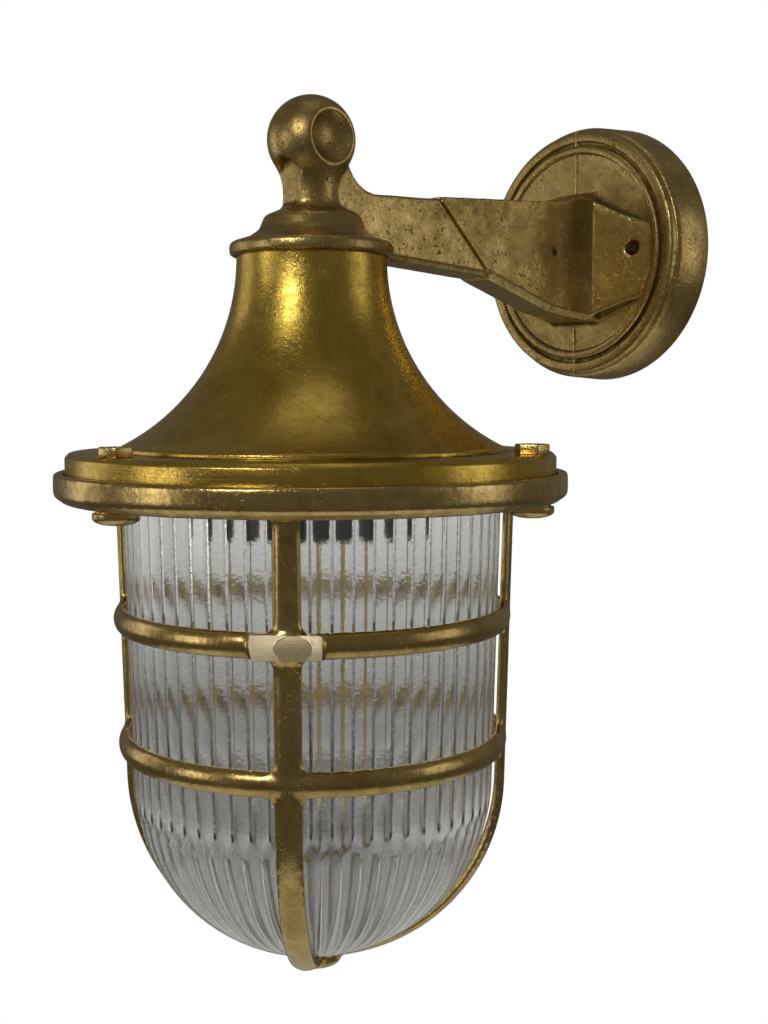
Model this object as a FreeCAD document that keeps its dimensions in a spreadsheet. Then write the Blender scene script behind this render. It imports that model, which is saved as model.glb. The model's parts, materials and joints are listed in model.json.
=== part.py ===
"""Ship lantern: a caged, reeded glass jar hung from a cast brass wall arm.

Millimetres, +Z up.  The wall is the plane y = 0 and the lantern stands off it
along -Y.  The origin is the centre of the wall plate's back face.

Three local frames are used, and each body's Placement puts it in the row's frame:
  wall     the origin itself, for the wall plate and what is inside it
  arm      on the lantern's axis, level with the wall plate's centre
  lantern  on the lantern's axis, at the cage ring's underside
"""
import FreeCAD, Part
import math
import os

import Sketcher

Vector = FreeCAD.Vector

# Each driving size, once: alias, value, what it is.
DIMENSIONS = [
    # where the three frames are
    ("reach", 151.0, "wall to the lantern's axis"),
    ("drop", 88.6, "plate centre down to the cage ring's underside"),
    # cage casting
    ("ring_radius", 85.0, "cage ring, outside"),
    ("ring_height", 8.5, "cage ring, height of its lip"),
    ("ring_floor", 3.4, "thickness of the cage ring's floor"),
    ("land_height", 1.2, "land under the ring that the bolts bear on"),
    ("land_inset", 2.6, "land's edge, in from the ring's"),
    ("land_round", 0.5, "rounding of the land's edge"),
    ("ring_round_low", 2.2, "rounding under the ring"),
    ("ring_round_top", 0.9, "rounding on top of the ring"),
    ("dome_drop", 95.0, "ring underside down to the dome's centre"),
    ("dome_radius", 61.4, "inside of the ribs round the dome"),
    ("draft", 1.45, "taper of ribs and jar above the dome, degrees"),
    ("rib_width", 8.5, "rib, across"),
    ("rib_depth", 3.5, "rib, radially"),
    ("hoop_one_drop", 39.8, "upper hoop's middle, below the ring's underside"),
    ("hoop_two_drop", 81.6, "lower hoop's middle, below the ring's underside"),
    ("hoop_height", 8.0, "hoop, height"),
    ("hoop_depth", 3.7, "hoop, radially"),
    ("crown", 1.7, "how far ribs and hoops bulge outwards"),
    ("pad_width", 22.0, "ground flat on one crossing, across"),
    ("pad_height", 7.9, "ground flat, height"),
    ("pad_proud", 0.6, "ground flat, out from the hoop's crown"),
    ("boss_radius", 9.0, "boss where the ribs meet"),
    ("boss_height", 1.8, "boss, below the ribs"),
    ("boss_sink", 0.5, "boss, up into the ribs"),
    ("boss_round", 1.2, "rounding of the boss"),
    # glass jar and its seals
    ("glass_gap", 0.8, "jar to ribs"),
    ("glass_wall", 3.4, "jar, wall thickness"),
    ("rim_radius", 68.4, "jar's rim, outside"),
    ("rim_thickness", 4.6, "jar's rim, thickness"),
    ("rim_round", 0.8, "rounding of the jar's rim"),
    ("seal", 1.5, "thickness of each seal on the jar's rim"),
    ("seal_width", 4.6, "width of each seal"),
    # bolts
    ("bolt_circle", 75.0, "radius of the bolt circle"),
    ("bolt_radius", 3.0, "M6 shank"),
    ("bolt_clearance", 0.3, "round a bolt in its holes"),
    ("head_radius", 7.25, "button head, outside"),
    ("head_height", 3.8, "button head, height"),
    ("head_edge", 1.6, "button head, straight part"),
    ("head_crown", 1.5, "flat on top of a head, radius"),
    ("socket_flats", 4.0, "hexagon socket, across flats"),
    ("socket_depth", 2.2, "hexagon socket, depth"),
    ("washer_thickness", 0.6, "washer under a bolt's head"),
    ("washer_radius", 6.2, "washer, outside"),
    ("nut_flats", 10.0, "M6 nut, across flats"),
    ("nut_height", 3.2, "thin nut, height"),
    ("nut_chamfer", 0.1, "nut's top face, in from its flats"),
    ("bolt_end", 0.3, "bolt's end, below the nut's top"),
    ("thread_fit", 0.05, "radial play in a thread"),
    # hood casting
    ("flange_radius", 81.2, "hood flange, outside"),
    ("flange_gap", 0.5, "hood flange inside the ring's lip"),
    ("flange_lift", 0.3, "hood flange above the ring's floor"),
    ("flange_top", 14.8, "top of the hood's flange"),
    ("flange_bevel", 1.5, "bevel round the flange"),
    ("flange_round", 0.5, "rounding of the bevel's edges"),
    ("rim_clearance", 0.3, "jar's rim inside the hood's recess"),
    ("bell_foot_radius", 64.2, "foot of the bell, outside"),
    ("bell_foot_rise", 1.4, "foot of the bell, above the flange"),
    ("neck_radius", 24.9, "neck of the bell, outside"),
    ("neck_straight", 1.4, "straight part at the top of the neck"),
    ("hood_wall", 3.0, "hood, wall thickness"),
    ("hood_roof", 4.0, "hood, top thickness"),
    ("inner_foot", 0.5, "bell's inside stops below the flange's top"),
    ("cap_drop", 8.3, "arm's level down to the hood's top"),
    # cap casting
    ("cap_seal", 1.0, "seal between hood and cap"),
    ("seal_edge", 0.6, "seal's edges, in from the metal's"),
    ("cap_skirt", 1.6, "cap's lip, down past the hood's top"),
    ("cap_wall", 2.0, "cap's lip, wall round the hood's neck"),
    ("cap_lip", 4.4, "cap's lip, height"),
    ("skirt_round", 1.5, "rounding under the cap's lip"),
    ("lip_round", 1.8, "rounding over the cap's lip"),
    ("cone_foot", 5.5, "cone's foot, out from its top"),
    ("cone_foot_rise", 1.9, "cone's foot above the lip"),
    ("cone_waist", 1.9, "cone's waist, out from its top"),
    ("cone_waist_drop", 4.6, "cone's waist below its top"),
    ("cone_round", 1.5, "rounding of the cone"),
    ("cap_clearance", 0.3, "cap's recess round the hood's neck"),
    ("shoulder_radius", 15.6, "top of the cap's cone"),
    ("shoulder_height", 3.4, "top of the cap's cone, above the arm's level"),
    ("shoulder_round", 2.0, "rounding of the cone's top"),
    ("stem_foot", 2.6, "stem's foot above the cone"),
    ("stem_round", 3.0, "rounding of the stem's foot"),
    ("stem_radius", 9.4, "finial's stem"),
    ("waist_bend", 16.0, "radius that runs the stem into the ball"),
    ("ball_radius", 14.6, "finial's ball"),
    ("ball_height", 28.2, "finial's ball, above the arm's level"),
    ("ball_flat", 11.4, "flats on the ball, from its middle"),
    ("dish_radius", 8.5, "dish in each flat, radius"),
    ("dish_depth", 3.6, "dish, depth"),
    ("arch_width", 12.4, "arched panel on the stem, across"),
    ("arch_top", 21.6, "arched panel, top above the arm's level"),
    ("arch_face", 8.5, "arched panel, from the stem's axis"),
    ("arch_foot", 3.0, "arched panel, foot above the cone"),
    ("chamber_radius", 7.6, "hollow over the nipple"),
    ("chamber_top", 8.2, "hollow's top above the arm's level"),
    ("chamber_floor", 5.3, "hollow's floor below the arm's level"),
    ("chamber_round", 3.0, "rounding of the hollow's top"),
    # arm
    ("mitre_reach", 87.9, "wall to the mitre, at the arm's level"),
    ("arm_half_width", 8.6, "outer casting, half width"),
    ("root_half_width", 9.0, "wall casting, half width"),
    ("arm_top_near", 11.5, "outer casting's top at the lantern's axis"),
    ("arm_top_far", 12.9, "outer casting's top at the mitre"),
    ("arm_low_near", 7.4, "outer casting's underside at the lantern's axis"),
    ("arm_low_far", 12.6, "outer casting's underside at the mitre"),
    ("mitre_step", 0.8, "wall casting stands proud of the outer one"),
    ("root_top", 17.2, "wall casting's top where its flare starts"),
    ("root_low", 23.6, "wall casting's underside where its flare starts"),
    ("flare_length", 19.0, "flare at the plate, along the arm"),
    ("flare_top", 21.5, "flare's top at the ridge"),
    ("flare_low", 27.0, "flare's underside at the ridge"),
    ("ridge_half_width", 12.4, "ridge beside the plate, half width"),
    ("ridge_proud", 4.0, "ridge, out from the plate"),
    ("arm_bevel", 1.7, "bevels under the outer casting"),
    ("root_bevel", 2.3, "bevels under the wall casting"),
    ("duct_radius", 4.2, "wiring duct"),
    ("duct_height", 2.2, "wiring duct above the arm's level"),
    ("spot_radius", 1.6, "drill spot on the arm's root"),
    ("spot_depth", 0.9, "drill spot, depth"),
    ("spot_reach", 41.0, "wall to the drill spot"),
    ("spot_drop", 1.5, "drill spot, below the arm's level"),
    # wall plate
    ("drum_radius", 49.3, "drum at the wall"),
    ("shoulder_inset", 1.0, "drum's front shoulder, in from the drum"),
    ("shoulder_depth", 17.0, "wall to the drum's front shoulder"),
    ("band_radius", 47.0, "front band, outside"),
    ("plate_depth", 19.9, "wall to the front band"),
    ("groove_outer", 42.7, "groove, outer radius"),
    ("groove_inner", 41.2, "groove, inner radius"),
    ("groove_depth", 1.3, "groove, depth"),
    ("bead_width", 3.2, "raised bead, width"),
    ("bead_height", 0.8, "raised bead, above the band"),
    ("field_inset", 0.5, "field inside the bead, below the band"),
    ("drum_wall", 5.6, "drum, wall thickness"),
    ("plate_wall", 4.2, "plate, front thickness"),
    ("pad_reach", 36.5, "screw pads, out from the plate's centre"),
    ("pad_ridge_top", 18.6, "screw pad's top at the ridge"),
    ("pad_tip_top", 6.8, "screw pad's top at its tip"),
    ("pad_tip_low", 16.2, "screw pad's bottom at its tip"),
    ("screw_spacing", 57.8, "between the two wall screws"),
    ("screw_hole_radius", 2.7, "wall screw hole"),
    ("cavity_round", 2.0, "rounding in the drum's corner"),
    ("drum_round", 0.8, "rounding of the drum's back edge"),
    ("shoulder_edge", 1.6, "rounding of the drum's shoulder"),
    ("band_round", 1.8, "rounding of the front band"),
    ("groove_round", 0.6, "rounding of the groove's edge"),
    ("bead_round", 1.0, "rounding of the bead"),
    ("post_radius", 5.8, "post behind each wall screw hole"),
    ("gasket_width", 2.6, "wall gasket, width"),
    ("gasket_depth", 1.6, "wall gasket, depth of its groove"),
    ("gasket_inset", 1.5, "wall gasket's groove, in from the drum"),
    # lampholder and what holds it
    ("nipple_radius", 5.0, "M10 nipple"),
    ("nipple_bore", 3.7, "nipple, bore radius"),
    ("nipple_short", 2.0, "nipple's end, short of its thread's in the lampholder"),
    ("locknut_flats", 14.0, "M10 locknut, across flats"),
    ("locknut_height", 4.0, "M10 locknut, height"),
    ("spreader_radius", 10.0, "washer over the locknut, radius"),
    ("spreader_thickness", 1.5, "washer over the locknut, thickness"),
    ("holder_radius", 21.5, "lampholder, outside"),
    ("holder_mouth", 14.0, "lampholder's mouth, below the ring's underside"),
    ("holder_height", 54.0, "lampholder, height"),
    ("holder_neck", 11.0, "lampholder's neck, radius"),
    ("holder_neck_height", 6.0, "lampholder's neck, height"),
    ("holder_shoulder", 5.0, "lampholder's shoulder, below its neck"),
    ("holder_round", 6.0, "rounding of the shoulder"),
    ("neck_round", 3.0, "rounding under the neck"),
    ("holder_edge", 1.0, "rounding of the lampholder's edges"),
    ("neck_thread", 7.0, "lampholder's thread, length"),
    ("cavity_drop", 4.5, "lampholder's cavity, below its neck"),
    ("cavity_margin", 2.5, "cavity, out from the terminals"),
    ("contact_room", 4.0, "lamp thread's end to the insulation"),
    ("socket_radius", 13.9, "lamp thread's shell, outside"),
    ("shell_wall", 0.5, "lamp thread's shell, thickness"),
    ("shell_length", 26.0, "lamp thread's shell, length"),
    ("shell_inset", 2.0, "lamp thread's shell, up from the mouth"),
    ("shelf_thickness", 4.0, "insulation over the lamp's cap"),
    ("contact_radius", 4.0, "centre contact"),
    ("contact_height", 5.0, "centre contact, height"),
    ("contact_stem", 1.9, "centre contact's stem, radius"),
    ("contact_round", 0.8, "rounding of the centre contact"),
    ("stem_hole", 2.0, "hole for the contact's stem, radius"),
    ("pillar_radius", 2.6, "lampholder's terminal pillars"),
    ("pillar_height", 4.0, "lampholder's terminal pillars, height"),
    ("pillar_offset", 9.0, "terminal pillars, off the axis"),
    ("pillar_floor", 1.0, "metal left under a pillar's hole"),
    ("wire_clearance", 0.1, "round a core in its hole"),
    # wiring
    ("lead_radius", 1.2, "insulated core"),
    ("lead_offset", 1.5, "cores, off the duct's axis"),
    ("block_width", 27.0, "terminal block, across"),
    ("block_height", 16.0, "terminal block, up and down"),
    ("block_depth", 11.0, "terminal block, off the plate"),
    ("block_drop", 27.0, "terminal block's middle, below the plate's centre"),
    ("way_pitch", 9.0, "between the terminal block's ways"),
    ("way_radius", 2.5, "brass insert, outside"),
    ("way_bore", 1.5, "brass insert, bore"),
    ("block_corner", 1.0, "rounding of the block's corners"),
    ("insert_inset", 0.5, "brass insert, in from the block's ends"),
    ("block_screw_radius", 1.7, "terminal screws"),
    ("screw_clearance", 0.1, "round a screw in the plastic"),
    ("screw_recess", 0.5, "terminal screw, below the block's face"),
    ("screw_gap", 0.6, "terminal screw's end to a core"),
    ("fixing_head", 1.0, "fixing screw's head, out from its shank"),
    ("fixing_head_height", 1.6, "fixing screw's head, height"),
    ("fixing_grip", 2.2, "fixing screw, into the plate"),
    ("blind_hole", 3.5, "depth of the plate's tapped holes"),
    ("earth_x", 15.0, "earth screw, across from the plate's centre"),
    ("earth_z", 20.0, "earth screw, above the plate's centre"),
    ("earth_radius", 2.0, "M4 earth screw"),
    ("earth_head", 3.6, "earth screw's head, radius"),
    ("earth_head_height", 2.2, "earth screw's head, height"),
    ("earth_grip", 2.2, "earth screw, into the plate"),
    ("tag_clearance", 0.2, "earth tag round its screw"),
    ("tag_radius", 4.2, "earth tag's ring"),
    ("tag_thickness", 0.8, "earth tag, thickness"),
    ("barrel_length", 5.0, "earth tag's barrel, length"),
    ("barrel_wall", 0.5, "earth tag's barrel, wall"),
    ("barrel_overlap", 0.5, "barrel, up onto the ring"),
    ("barrel_lift", 0.25, "barrel's bore, off the ring"),
    ("grommet_wall", 1.0, "grommet in the duct's mouth"),
    ("grommet_lip", 1.8, "grommet's lip, out from its sleeve"),
    ("grommet_length", 7.0, "grommet, length"),
    ("grommet_thickness", 1.5, "grommet's lip, thickness"),
    ("grommet_space", 0.5, "grommet's hole, less than its length"),
]

doc = FreeCAD.newDocument("ShipLantern")
sheet = doc.addObject("Spreadsheet::Sheet", "dims")
for row, (alias, number, meaning) in enumerate(DIMENSIONS, start=1):
    sheet.set(f"A{row}", meaning)
    sheet.set(f"B{row}", str(number))
    sheet.setAlias(f"B{row}", alias)
doc.recompute()

ALIASES = {alias for alias, _, _ in DIMENSIONS}


def bound(expression):
    """Write an expression in the sheet's aliases as FreeCAD reads it."""
    words = []
    word = ""
    for letter in str(expression) + " ":
        if letter.isalnum() or letter == "_":
            word += letter
            continue
        words.append(f"dims.{word}" if word in ALIASES else word)
        words.append(letter)
        word = ""
    return "".join(words).strip()


def size(expression):
    """The number that an expression comes to."""
    result = sheet.evalExpression(bound(expression))
    return float(getattr(result, "Value", result))


# Levels and radii that several pieces share, worked out from the sheet.
HOOD_TOP = "(drop - cap_drop)"
LAND_LOW = "(0 - land_height)"
SEAL_LOW_TOP = "(ring_floor + seal)"
RIM_TOP = "(ring_floor + seal + rim_thickness)"
SEAL_HIGH_TOP = "(ring_floor + 2 * seal + rim_thickness)"
LIP_BORE = "(flange_radius + flange_gap)"
FLANGE_LOW = "(ring_floor + flange_lift)"
HOLE_RADIUS = "(bolt_radius + bolt_clearance)"
GLASS_DOME = "(dome_radius - glass_gap)"
MITRE_IN_ARM = "(reach - mitre_reach)"
BLOCK_BACK = "(plate_depth - field_inset - plate_wall)"
BARREL_LEVEL = f"({BLOCK_BACK} - tag_thickness - lead_radius - barrel_lift)"
WAY_LEVEL = f"({BLOCK_BACK} - block_depth / 2)"
HOLDER_TOP = "(holder_height - holder_mouth)"
HOLDER_NECK_LOW = f"({HOLDER_TOP} - holder_neck_height)"
HOLDER_CAVITY = "(pillar_offset + pillar_radius + cavity_margin)"
SHELF_TOP = "(shell_length + contact_room + shelf_thickness - holder_mouth)"


def taper(radius, drop="0"):
    """Radius of the drafted wall over a dome, this far below the ring's underside."""
    return f"({radius} / cos(draft * 1deg) + (dome_drop - {drop}) * tan(draft * 1deg))"


FRAMES = {
    "wall": ("0", "0", "0"),
    "arm": ("0", "0 - reach", "0"),
    "lantern": ("0", "0 - reach", "0 - drop"),
}

subparts = []


def place(piece, frame):
    """Bind a piece's Placement to its frame and list it as a sub-part."""
    for axis, expression in zip("xyz", FRAMES[frame]):
        piece.setExpression(f".Placement.Base.{axis}", bound(expression))
    subparts.append(piece)


def new_body(name, frame):
    body = doc.addObject("PartDesign::Body", name)
    body.Label = name
    place(body, frame)
    return body


def origin_feature(body, role):
    return next(item for item in body.Origin.OriginFeatures if item.Role == role)


class Corner:
    """A corner of an outline: where it is, its rounding, and the bulge of the next edge.

    bulge is an arc's radius for the edge that leaves this corner.  The arc turns
    left of the way along it when side is +1 and right when it is -1.
    """

    def __init__(self, x, y, rounding=None, bulge=None, side=1):
        self.x = x
        self.y = y
        self.rounding = rounding
        self.bulge = bulge
        self.side = side

    def point(self):
        return Vector(size(self.x), size(self.y), 0)


def arc_between(start, end, radius, side):
    """The shorter arc from start to end; its centre lies left of the way for side +1."""
    chord = end - start
    half = chord.Length / 2
    normal = Vector(-chord.y, chord.x, 0).normalize() * side
    centre = (start + end) * 0.5 + normal * math.sqrt(max(radius ** 2 - half ** 2, 0.0))
    return centre


def add_arc(sketch, centre, start, end):
    """Add an arc through start and end, and say which of its ends is which."""
    first = math.atan2(start.y - centre.y, start.x - centre.x)
    last = math.atan2(end.y - centre.y, end.x - centre.x)
    turn = (last - first) % (2 * math.pi)
    backwards = turn > math.pi
    if backwards:
        first, last = last, first
    circle = Part.Circle(centre, Vector(0, 0, 1), (start - centre).Length)
    index = sketch.addGeometry(Part.ArcOfCircle(circle, first, last), False)
    return (index, 2, 1) if backwards else (index, 1, 2)


def pin(sketch, index, point, corner):
    """Hold a point at a corner's place, bound to the sheet."""
    for kind, expression in (("DistanceX", corner.x), ("DistanceY", corner.y)):
        constraint = Sketcher.Constraint(kind, -1, 1, index, point, size(expression))
        number = sketch.addConstraint(constraint)
        sketch.setExpression(f"Constraints[{number}]", bound(expression))


def set_radius(sketch, index, expression):
    number = sketch.addConstraint(Sketcher.Constraint("Radius", index, size(expression)))
    sketch.setExpression(f"Constraints[{number}]", bound(expression))


def outline(sketch, corners, closed=True):
    """Draw corners joined by lines and arcs, with every size bound to the sheet."""
    count = len(corners)
    points = [corner.point() for corner in corners]
    entries = []
    leaves = []
    for number, corner in enumerate(corners):
        if corner.rounding is None:
            entries.append(points[number])
            leaves.append(points[number])
            continue
        before = (points[number - 1] - points[number]).normalize()
        after = (points[(number + 1) % count] - points[number]).normalize()
        half_turn = (math.pi - before.getAngle(after)) / 2
        step = size(corner.rounding) * math.tan(half_turn)
        entries.append(points[number] + before * step)
        leaves.append(points[number] + after * step)
    edges = []
    for number in range(count if closed else count - 1):
        corner = corners[number]
        start = leaves[number]
        end = entries[(number + 1) % count]
        if corner.bulge is None:
            index = sketch.addGeometry(Part.LineSegment(start, end), False)
            edges.append((index, 1, 2))
        else:
            centre = arc_between(start, end, size(corner.bulge), corner.side)
            edges.append(add_arc(sketch, centre, start, end))
            set_radius(sketch, edges[-1][0], corner.bulge)
    for number, corner in enumerate(corners):
        leaving = edges[number] if number < len(edges) else None
        arriving = edges[number - 1] if closed or number > 0 else None
        if leaving is None:
            pin(sketch, arriving[0], arriving[2], corner)
            continue
        if corner.rounding is None:
            pin(sketch, leaving[0], leaving[1], corner)
            if arriving is not None:
                sketch.addConstraint(
                    Sketcher.Constraint("Coincident", arriving[0], arriving[2],
                                        leaving[0], leaving[1]))
            continue
        before = (entries[number] - points[number]).normalize()
        after = (leaves[number] - points[number]).normalize()
        inward = (before + after).normalize()
        half_angle = before.getAngle(after) / 2
        centre = points[number] + inward * (size(corner.rounding) / math.sin(half_angle))
        arc = add_arc(sketch, centre, entries[number], leaves[number])
        sketch.addConstraint(
            Sketcher.Constraint("Tangent", arriving[0], arriving[2], arc[0], arc[1]))
        sketch.addConstraint(
            Sketcher.Constraint("Tangent", leaving[0], leaving[1], arc[0], arc[2]))
        set_radius(sketch, arc[0], corner.rounding)
        tip = sketch.addGeometry(Part.Point(points[number]), True)
        sketch.addConstraint(Sketcher.Constraint("PointOnObject", tip, 1, arriving[0]))
        sketch.addConstraint(Sketcher.Constraint("PointOnObject", tip, 1, leaving[0]))
        pin(sketch, tip, 1, corner)


def circle(sketch, x, y, radius):
    """Draw a circle bound to the sheet."""
    centre = Vector(size(x), size(y), 0)
    index = sketch.addGeometry(Part.Circle(centre, Vector(0, 0, 1), size(radius)), False)
    pin(sketch, index, 3, Corner(x, y))
    set_radius(sketch, index, radius)


def new_sketch(body, name, plane, offset=None):
    """A sketch on one of the body's origin planes, moved along its normal by offset."""
    sketch = body.newObject("Sketcher::SketchObject", f"{body.Name}_{name}")
    sketch.AttachmentSupport = [(origin_feature(body, plane), "")]
    sketch.MapMode = "FlatFace"
    if offset is not None:
        sketch.setExpression(".AttachmentOffset.Base.z", bound(offset))
    doc.recompute()
    return sketch


def drawn(body, name, plane, corners, offset=None):
    """A new sketch with one closed outline in it."""
    sketch = new_sketch(body, name, plane, offset)
    outline(sketch, corners)
    return sketch


def polygon(*points):
    """Corners from (x, y) or (x, y, rounding) entries."""
    return [Corner(*point) for point in points]


def revolve(body, sketch, axis="Z_Axis", cut=False):
    """Turn a sketch about one of the body's own axes."""
    kind = "PartDesign::Groove" if cut else "PartDesign::Revolution"
    feature = body.newObject(kind, f"{sketch.Name}_turned")
    feature.Profile = sketch
    feature.ReferenceAxis = (origin_feature(body, axis), [""])
    feature.Angle = 360
    sketch.Visibility = False
    doc.recompute()
    return feature


def pad(body, sketch, length, symmetric=False):
    """Raise a sketch along its normal, or evenly to both sides."""
    feature = body.newObject("PartDesign::Pad", f"{sketch.Name}_pad")
    feature.Profile = sketch
    feature.SideType = "Symmetric" if symmetric else "One side"
    feature.setExpression("Length", bound(length))
    doc.recompute()
    return feature


def pocket(body, sketch, length, symmetric=False, reverse=False):
    """Cut a sketch into its body, and make sure that something went."""
    volume = body.Shape.Volume
    feature = body.newObject("PartDesign::Pocket", f"{sketch.Name}_cut")
    feature.Profile = sketch
    feature.SideType = "Symmetric" if symmetric else "One side"
    feature.Reversed = reverse
    feature.setExpression("Length", bound(length))
    doc.recompute()
    if body.Shape.Volume >= volume:
        raise RuntimeError(f"{feature.Name} cuts nothing")
    return feature


def mirror(body, features, plane):
    """Repeat features on the other side of one of the body's own planes."""
    copy = body.newObject("PartDesign::Mirrored", f"{features[0].Name}_mirror")
    copy.Originals = features
    copy.MirrorPlane = (origin_feature(body, plane), [""])
    body.Tip = copy
    doc.recompute()
    return copy


def chamfer(body, wanted, amount):
    """Bevel the edges that wanted(edge) picks out."""
    names = [f"Edge{number}" for number, edge in enumerate(body.Shape.Edges, start=1)
             if wanted(edge)]
    if not names:
        raise RuntimeError(f"{body.Name} has no edge to bevel")
    base = body.Tip
    feature = body.newObject("PartDesign::Chamfer", f"{base.Name}_bevel")
    feature.Base = (base, names)
    feature.setExpression("Size", bound(amount))
    doc.recompute()
    return feature


def turned(name, frame, corners, axis="Z_Axis"):
    """A body turned from one closed outline of (radius, height) corners."""
    body = new_body(name, frame)
    plane = "XZ_Plane" if axis == "Z_Axis" else "XY_Plane"
    revolve(body, drawn(body, "section", plane, corners), axis)
    return body


def ring(name, frame, inner, outer, low, high):
    return turned(name, frame, polygon((inner, low), (outer, low), (outer, high), (inner, high)))


def hexagon(sketch, x, y, flats):
    """A hexagon with two flats square to the sketch's X."""
    half = f"({flats}) / 2"
    corner = f"({flats}) / (2 * cos(30deg))"
    signs = [(1, -0.5), (1, 0.5), (0, 1), (-1, 0.5), (-1, -0.5), (0, -1)]
    corners = [Corner(f"{x} + ({a}) * {half}", f"{y} + ({b}) * {corner}") for a, b in signs]
    outline(sketch, corners)


# ---------------------------------------------------------------- cage assembly

# The cage is drawn with one rib on +X, and then turned so that this rib stands
# between the front (-Y) and the right (+X).
FLAT_TURN = 45


def build_cage():
    """Ring, two hoops, four ribs and a boss, cast in one."""
    body = new_body("cage", "lantern")
    section = polygon(
        (taper("dome_radius"), LAND_LOW),
        ("ring_radius - land_inset", LAND_LOW, "land_round"),
        ("ring_radius - land_inset", "0"),
        ("ring_radius", "0", "ring_round_low"),
        ("ring_radius", "ring_height", "ring_round_top"),
        (LIP_BORE, "ring_height"),
        (LIP_BORE, "ring_floor"),
        (taper("dome_radius"), "ring_floor"),
    )
    revolve(body, drawn(body, "ring", "XZ_Plane", section))
    for number, drop in enumerate(("hoop_one_drop", "hoop_two_drop"), start=1):
        inner = taper("dome_radius", drop)
        outer = f"{inner} + hoop_depth"
        shoulder = f"{outer} - crown"
        high = f"hoop_height / 2 - {drop}"
        low = f"0 - hoop_height / 2 - {drop}"
        arc = "((hoop_height / 2) ^ 2 + crown ^ 2) / (2 * crown)"
        hoop = [Corner(inner, low), Corner(shoulder, low, bulge=arc, side=1),
                Corner(shoulder, high), Corner(inner, high)]
        revolve(body, drawn(body, f"hoop{number}", "XZ_Plane", hoop))
    add_ribs(body)
    pad_from = taper("dome_radius", "hoop_one_drop")
    sketch = new_sketch(body, "flat", "YZ_Plane", pad_from)
    outline(sketch, polygon(
        ("0 - pad_width / 2", "0 - hoop_one_drop - pad_height / 2"),
        ("pad_width / 2", "0 - hoop_one_drop - pad_height / 2"),
        ("pad_width / 2", "pad_height / 2 - hoop_one_drop"),
        ("0 - pad_width / 2", "pad_height / 2 - hoop_one_drop"),
    ))
    pad(body, sketch, "hoop_depth + pad_proud")
    clear = polygon(
        ("0", "0 - hoop_one_drop - hoop_height"),
        (taper("dome_radius", "hoop_one_drop"), "0 - hoop_one_drop - hoop_height"),
        (taper("dome_radius", "hoop_one_drop"), "hoop_height - hoop_one_drop"),
        ("0", "hoop_height - hoop_one_drop"),
    )
    revolve(body, drawn(body, "inside", "XZ_Plane", clear), cut=True)
    for number in range(3):
        sketch = new_sketch(body, f"hole{number}", "XY_Plane", "ring_height")
        angle = f"{FLAT_TURN + 120 * number - 90}deg"
        circle(sketch, f"bolt_circle * cos({angle})", f"bolt_circle * sin({angle})", HOLE_RADIUS)
        pocket(body, sketch, "ring_height + 2 * land_height")
    body.setExpression(".Placement.Rotation.Angle", f"{0 - FLAT_TURN}")
    return body


def rib_path(sketch):
    """Down one side, round the dome and up the other."""
    top = taper("dome_radius")
    side = "dome_radius * cos(draft * 1deg)"
    turn = "0 - dome_drop - dome_radius * sin(draft * 1deg)"
    outline(sketch, [
        Corner(top, "0"),
        Corner(side, turn, bulge="dome_radius", side=-1),
        Corner(f"0 - {side}", turn),
        Corner(f"0 - {top}", "0"),
    ], closed=False)


def add_ribs(body):
    for number, plane in enumerate(("XZ_Plane", "YZ_Plane")):
        path = new_sketch(body, f"path{number}", plane)
        rib_path(path)
        section = new_sketch(body, f"rib{number}", "XY_Plane")
        inner = taper("dome_radius")
        shoulder = f"{inner} + rib_depth - crown"
        half = "rib_width / 2"
        arc = "((rib_width / 2) ^ 2 + crown ^ 2) / (2 * crown)"
        if number == 0:
            corners = [Corner(inner, f"0 - {half}"), Corner(shoulder, f"0 - {half}", bulge=arc),
                       Corner(shoulder, half), Corner(inner, half)]
        else:
            corners = [Corner(half, inner), Corner(half, shoulder, bulge=arc),
                       Corner(f"0 - {half}", shoulder), Corner(f"0 - {half}", inner)]
        outline(section, corners)
        pipe = body.newObject("PartDesign::AdditivePipe", f"{body.Name}_ribs{number}")
        pipe.Profile = section
        pipe.Spine = (path, [])
        doc.recompute()
    low = "0 - dome_drop - dome_radius"
    boss = polygon(
        ("0", f"{low} - boss_sink"),
        ("boss_radius", f"{low} - boss_sink"),
        ("boss_radius", f"{low} - rib_depth - boss_height", "boss_round"),
        ("0", f"{low} - rib_depth - boss_height"),
    )
    revolve(body, drawn(body, "boss", "XZ_Plane", boss))


def build_glass():
    """Jar with a clamped rim, drafted sides and a round bottom."""
    inside = f"({GLASS_DOME} - glass_wall)"
    outside_top = taper(GLASS_DOME, f"(0 - {SEAL_LOW_TOP})")
    inside_top = taper(inside, f"(0 - {RIM_TOP})")
    corners = [
        Corner(outside_top, SEAL_LOW_TOP),
        Corner("rim_radius", SEAL_LOW_TOP, "rim_round"),
        Corner("rim_radius", RIM_TOP, "rim_round"),
        Corner(inside_top, RIM_TOP),
        Corner(f"{inside} * cos(draft * 1deg)", f"0 - dome_drop - {inside} * sin(draft * 1deg)",
               bulge=inside, side=-1),
        Corner("0", f"0 - dome_drop - {inside}"),
        Corner("0", f"0 - dome_drop - {GLASS_DOME}", bulge=GLASS_DOME, side=1),
        Corner(f"{GLASS_DOME} * cos(draft * 1deg)",
               f"0 - dome_drop - {GLASS_DOME} * sin(draft * 1deg)"),
    ]
    return turned("glass", "lantern", corners)


def build_seals():
    seal_inner = "(rim_radius - seal_width)"
    ring("glass_seal_lower", "lantern", seal_inner, "rim_radius", "ring_floor", SEAL_LOW_TOP)
    ring("glass_seal_upper", "lantern", seal_inner, "rim_radius", RIM_TOP, SEAL_HIGH_TOP)


def bolt_place(number):
    """X and Y of a bolt in the lantern's frame: the first at the front, then every third turn."""
    angle = f"{120 * number - 90}deg"
    return f"bolt_circle * cos({angle})", f"bolt_circle * sin({angle})"


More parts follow.
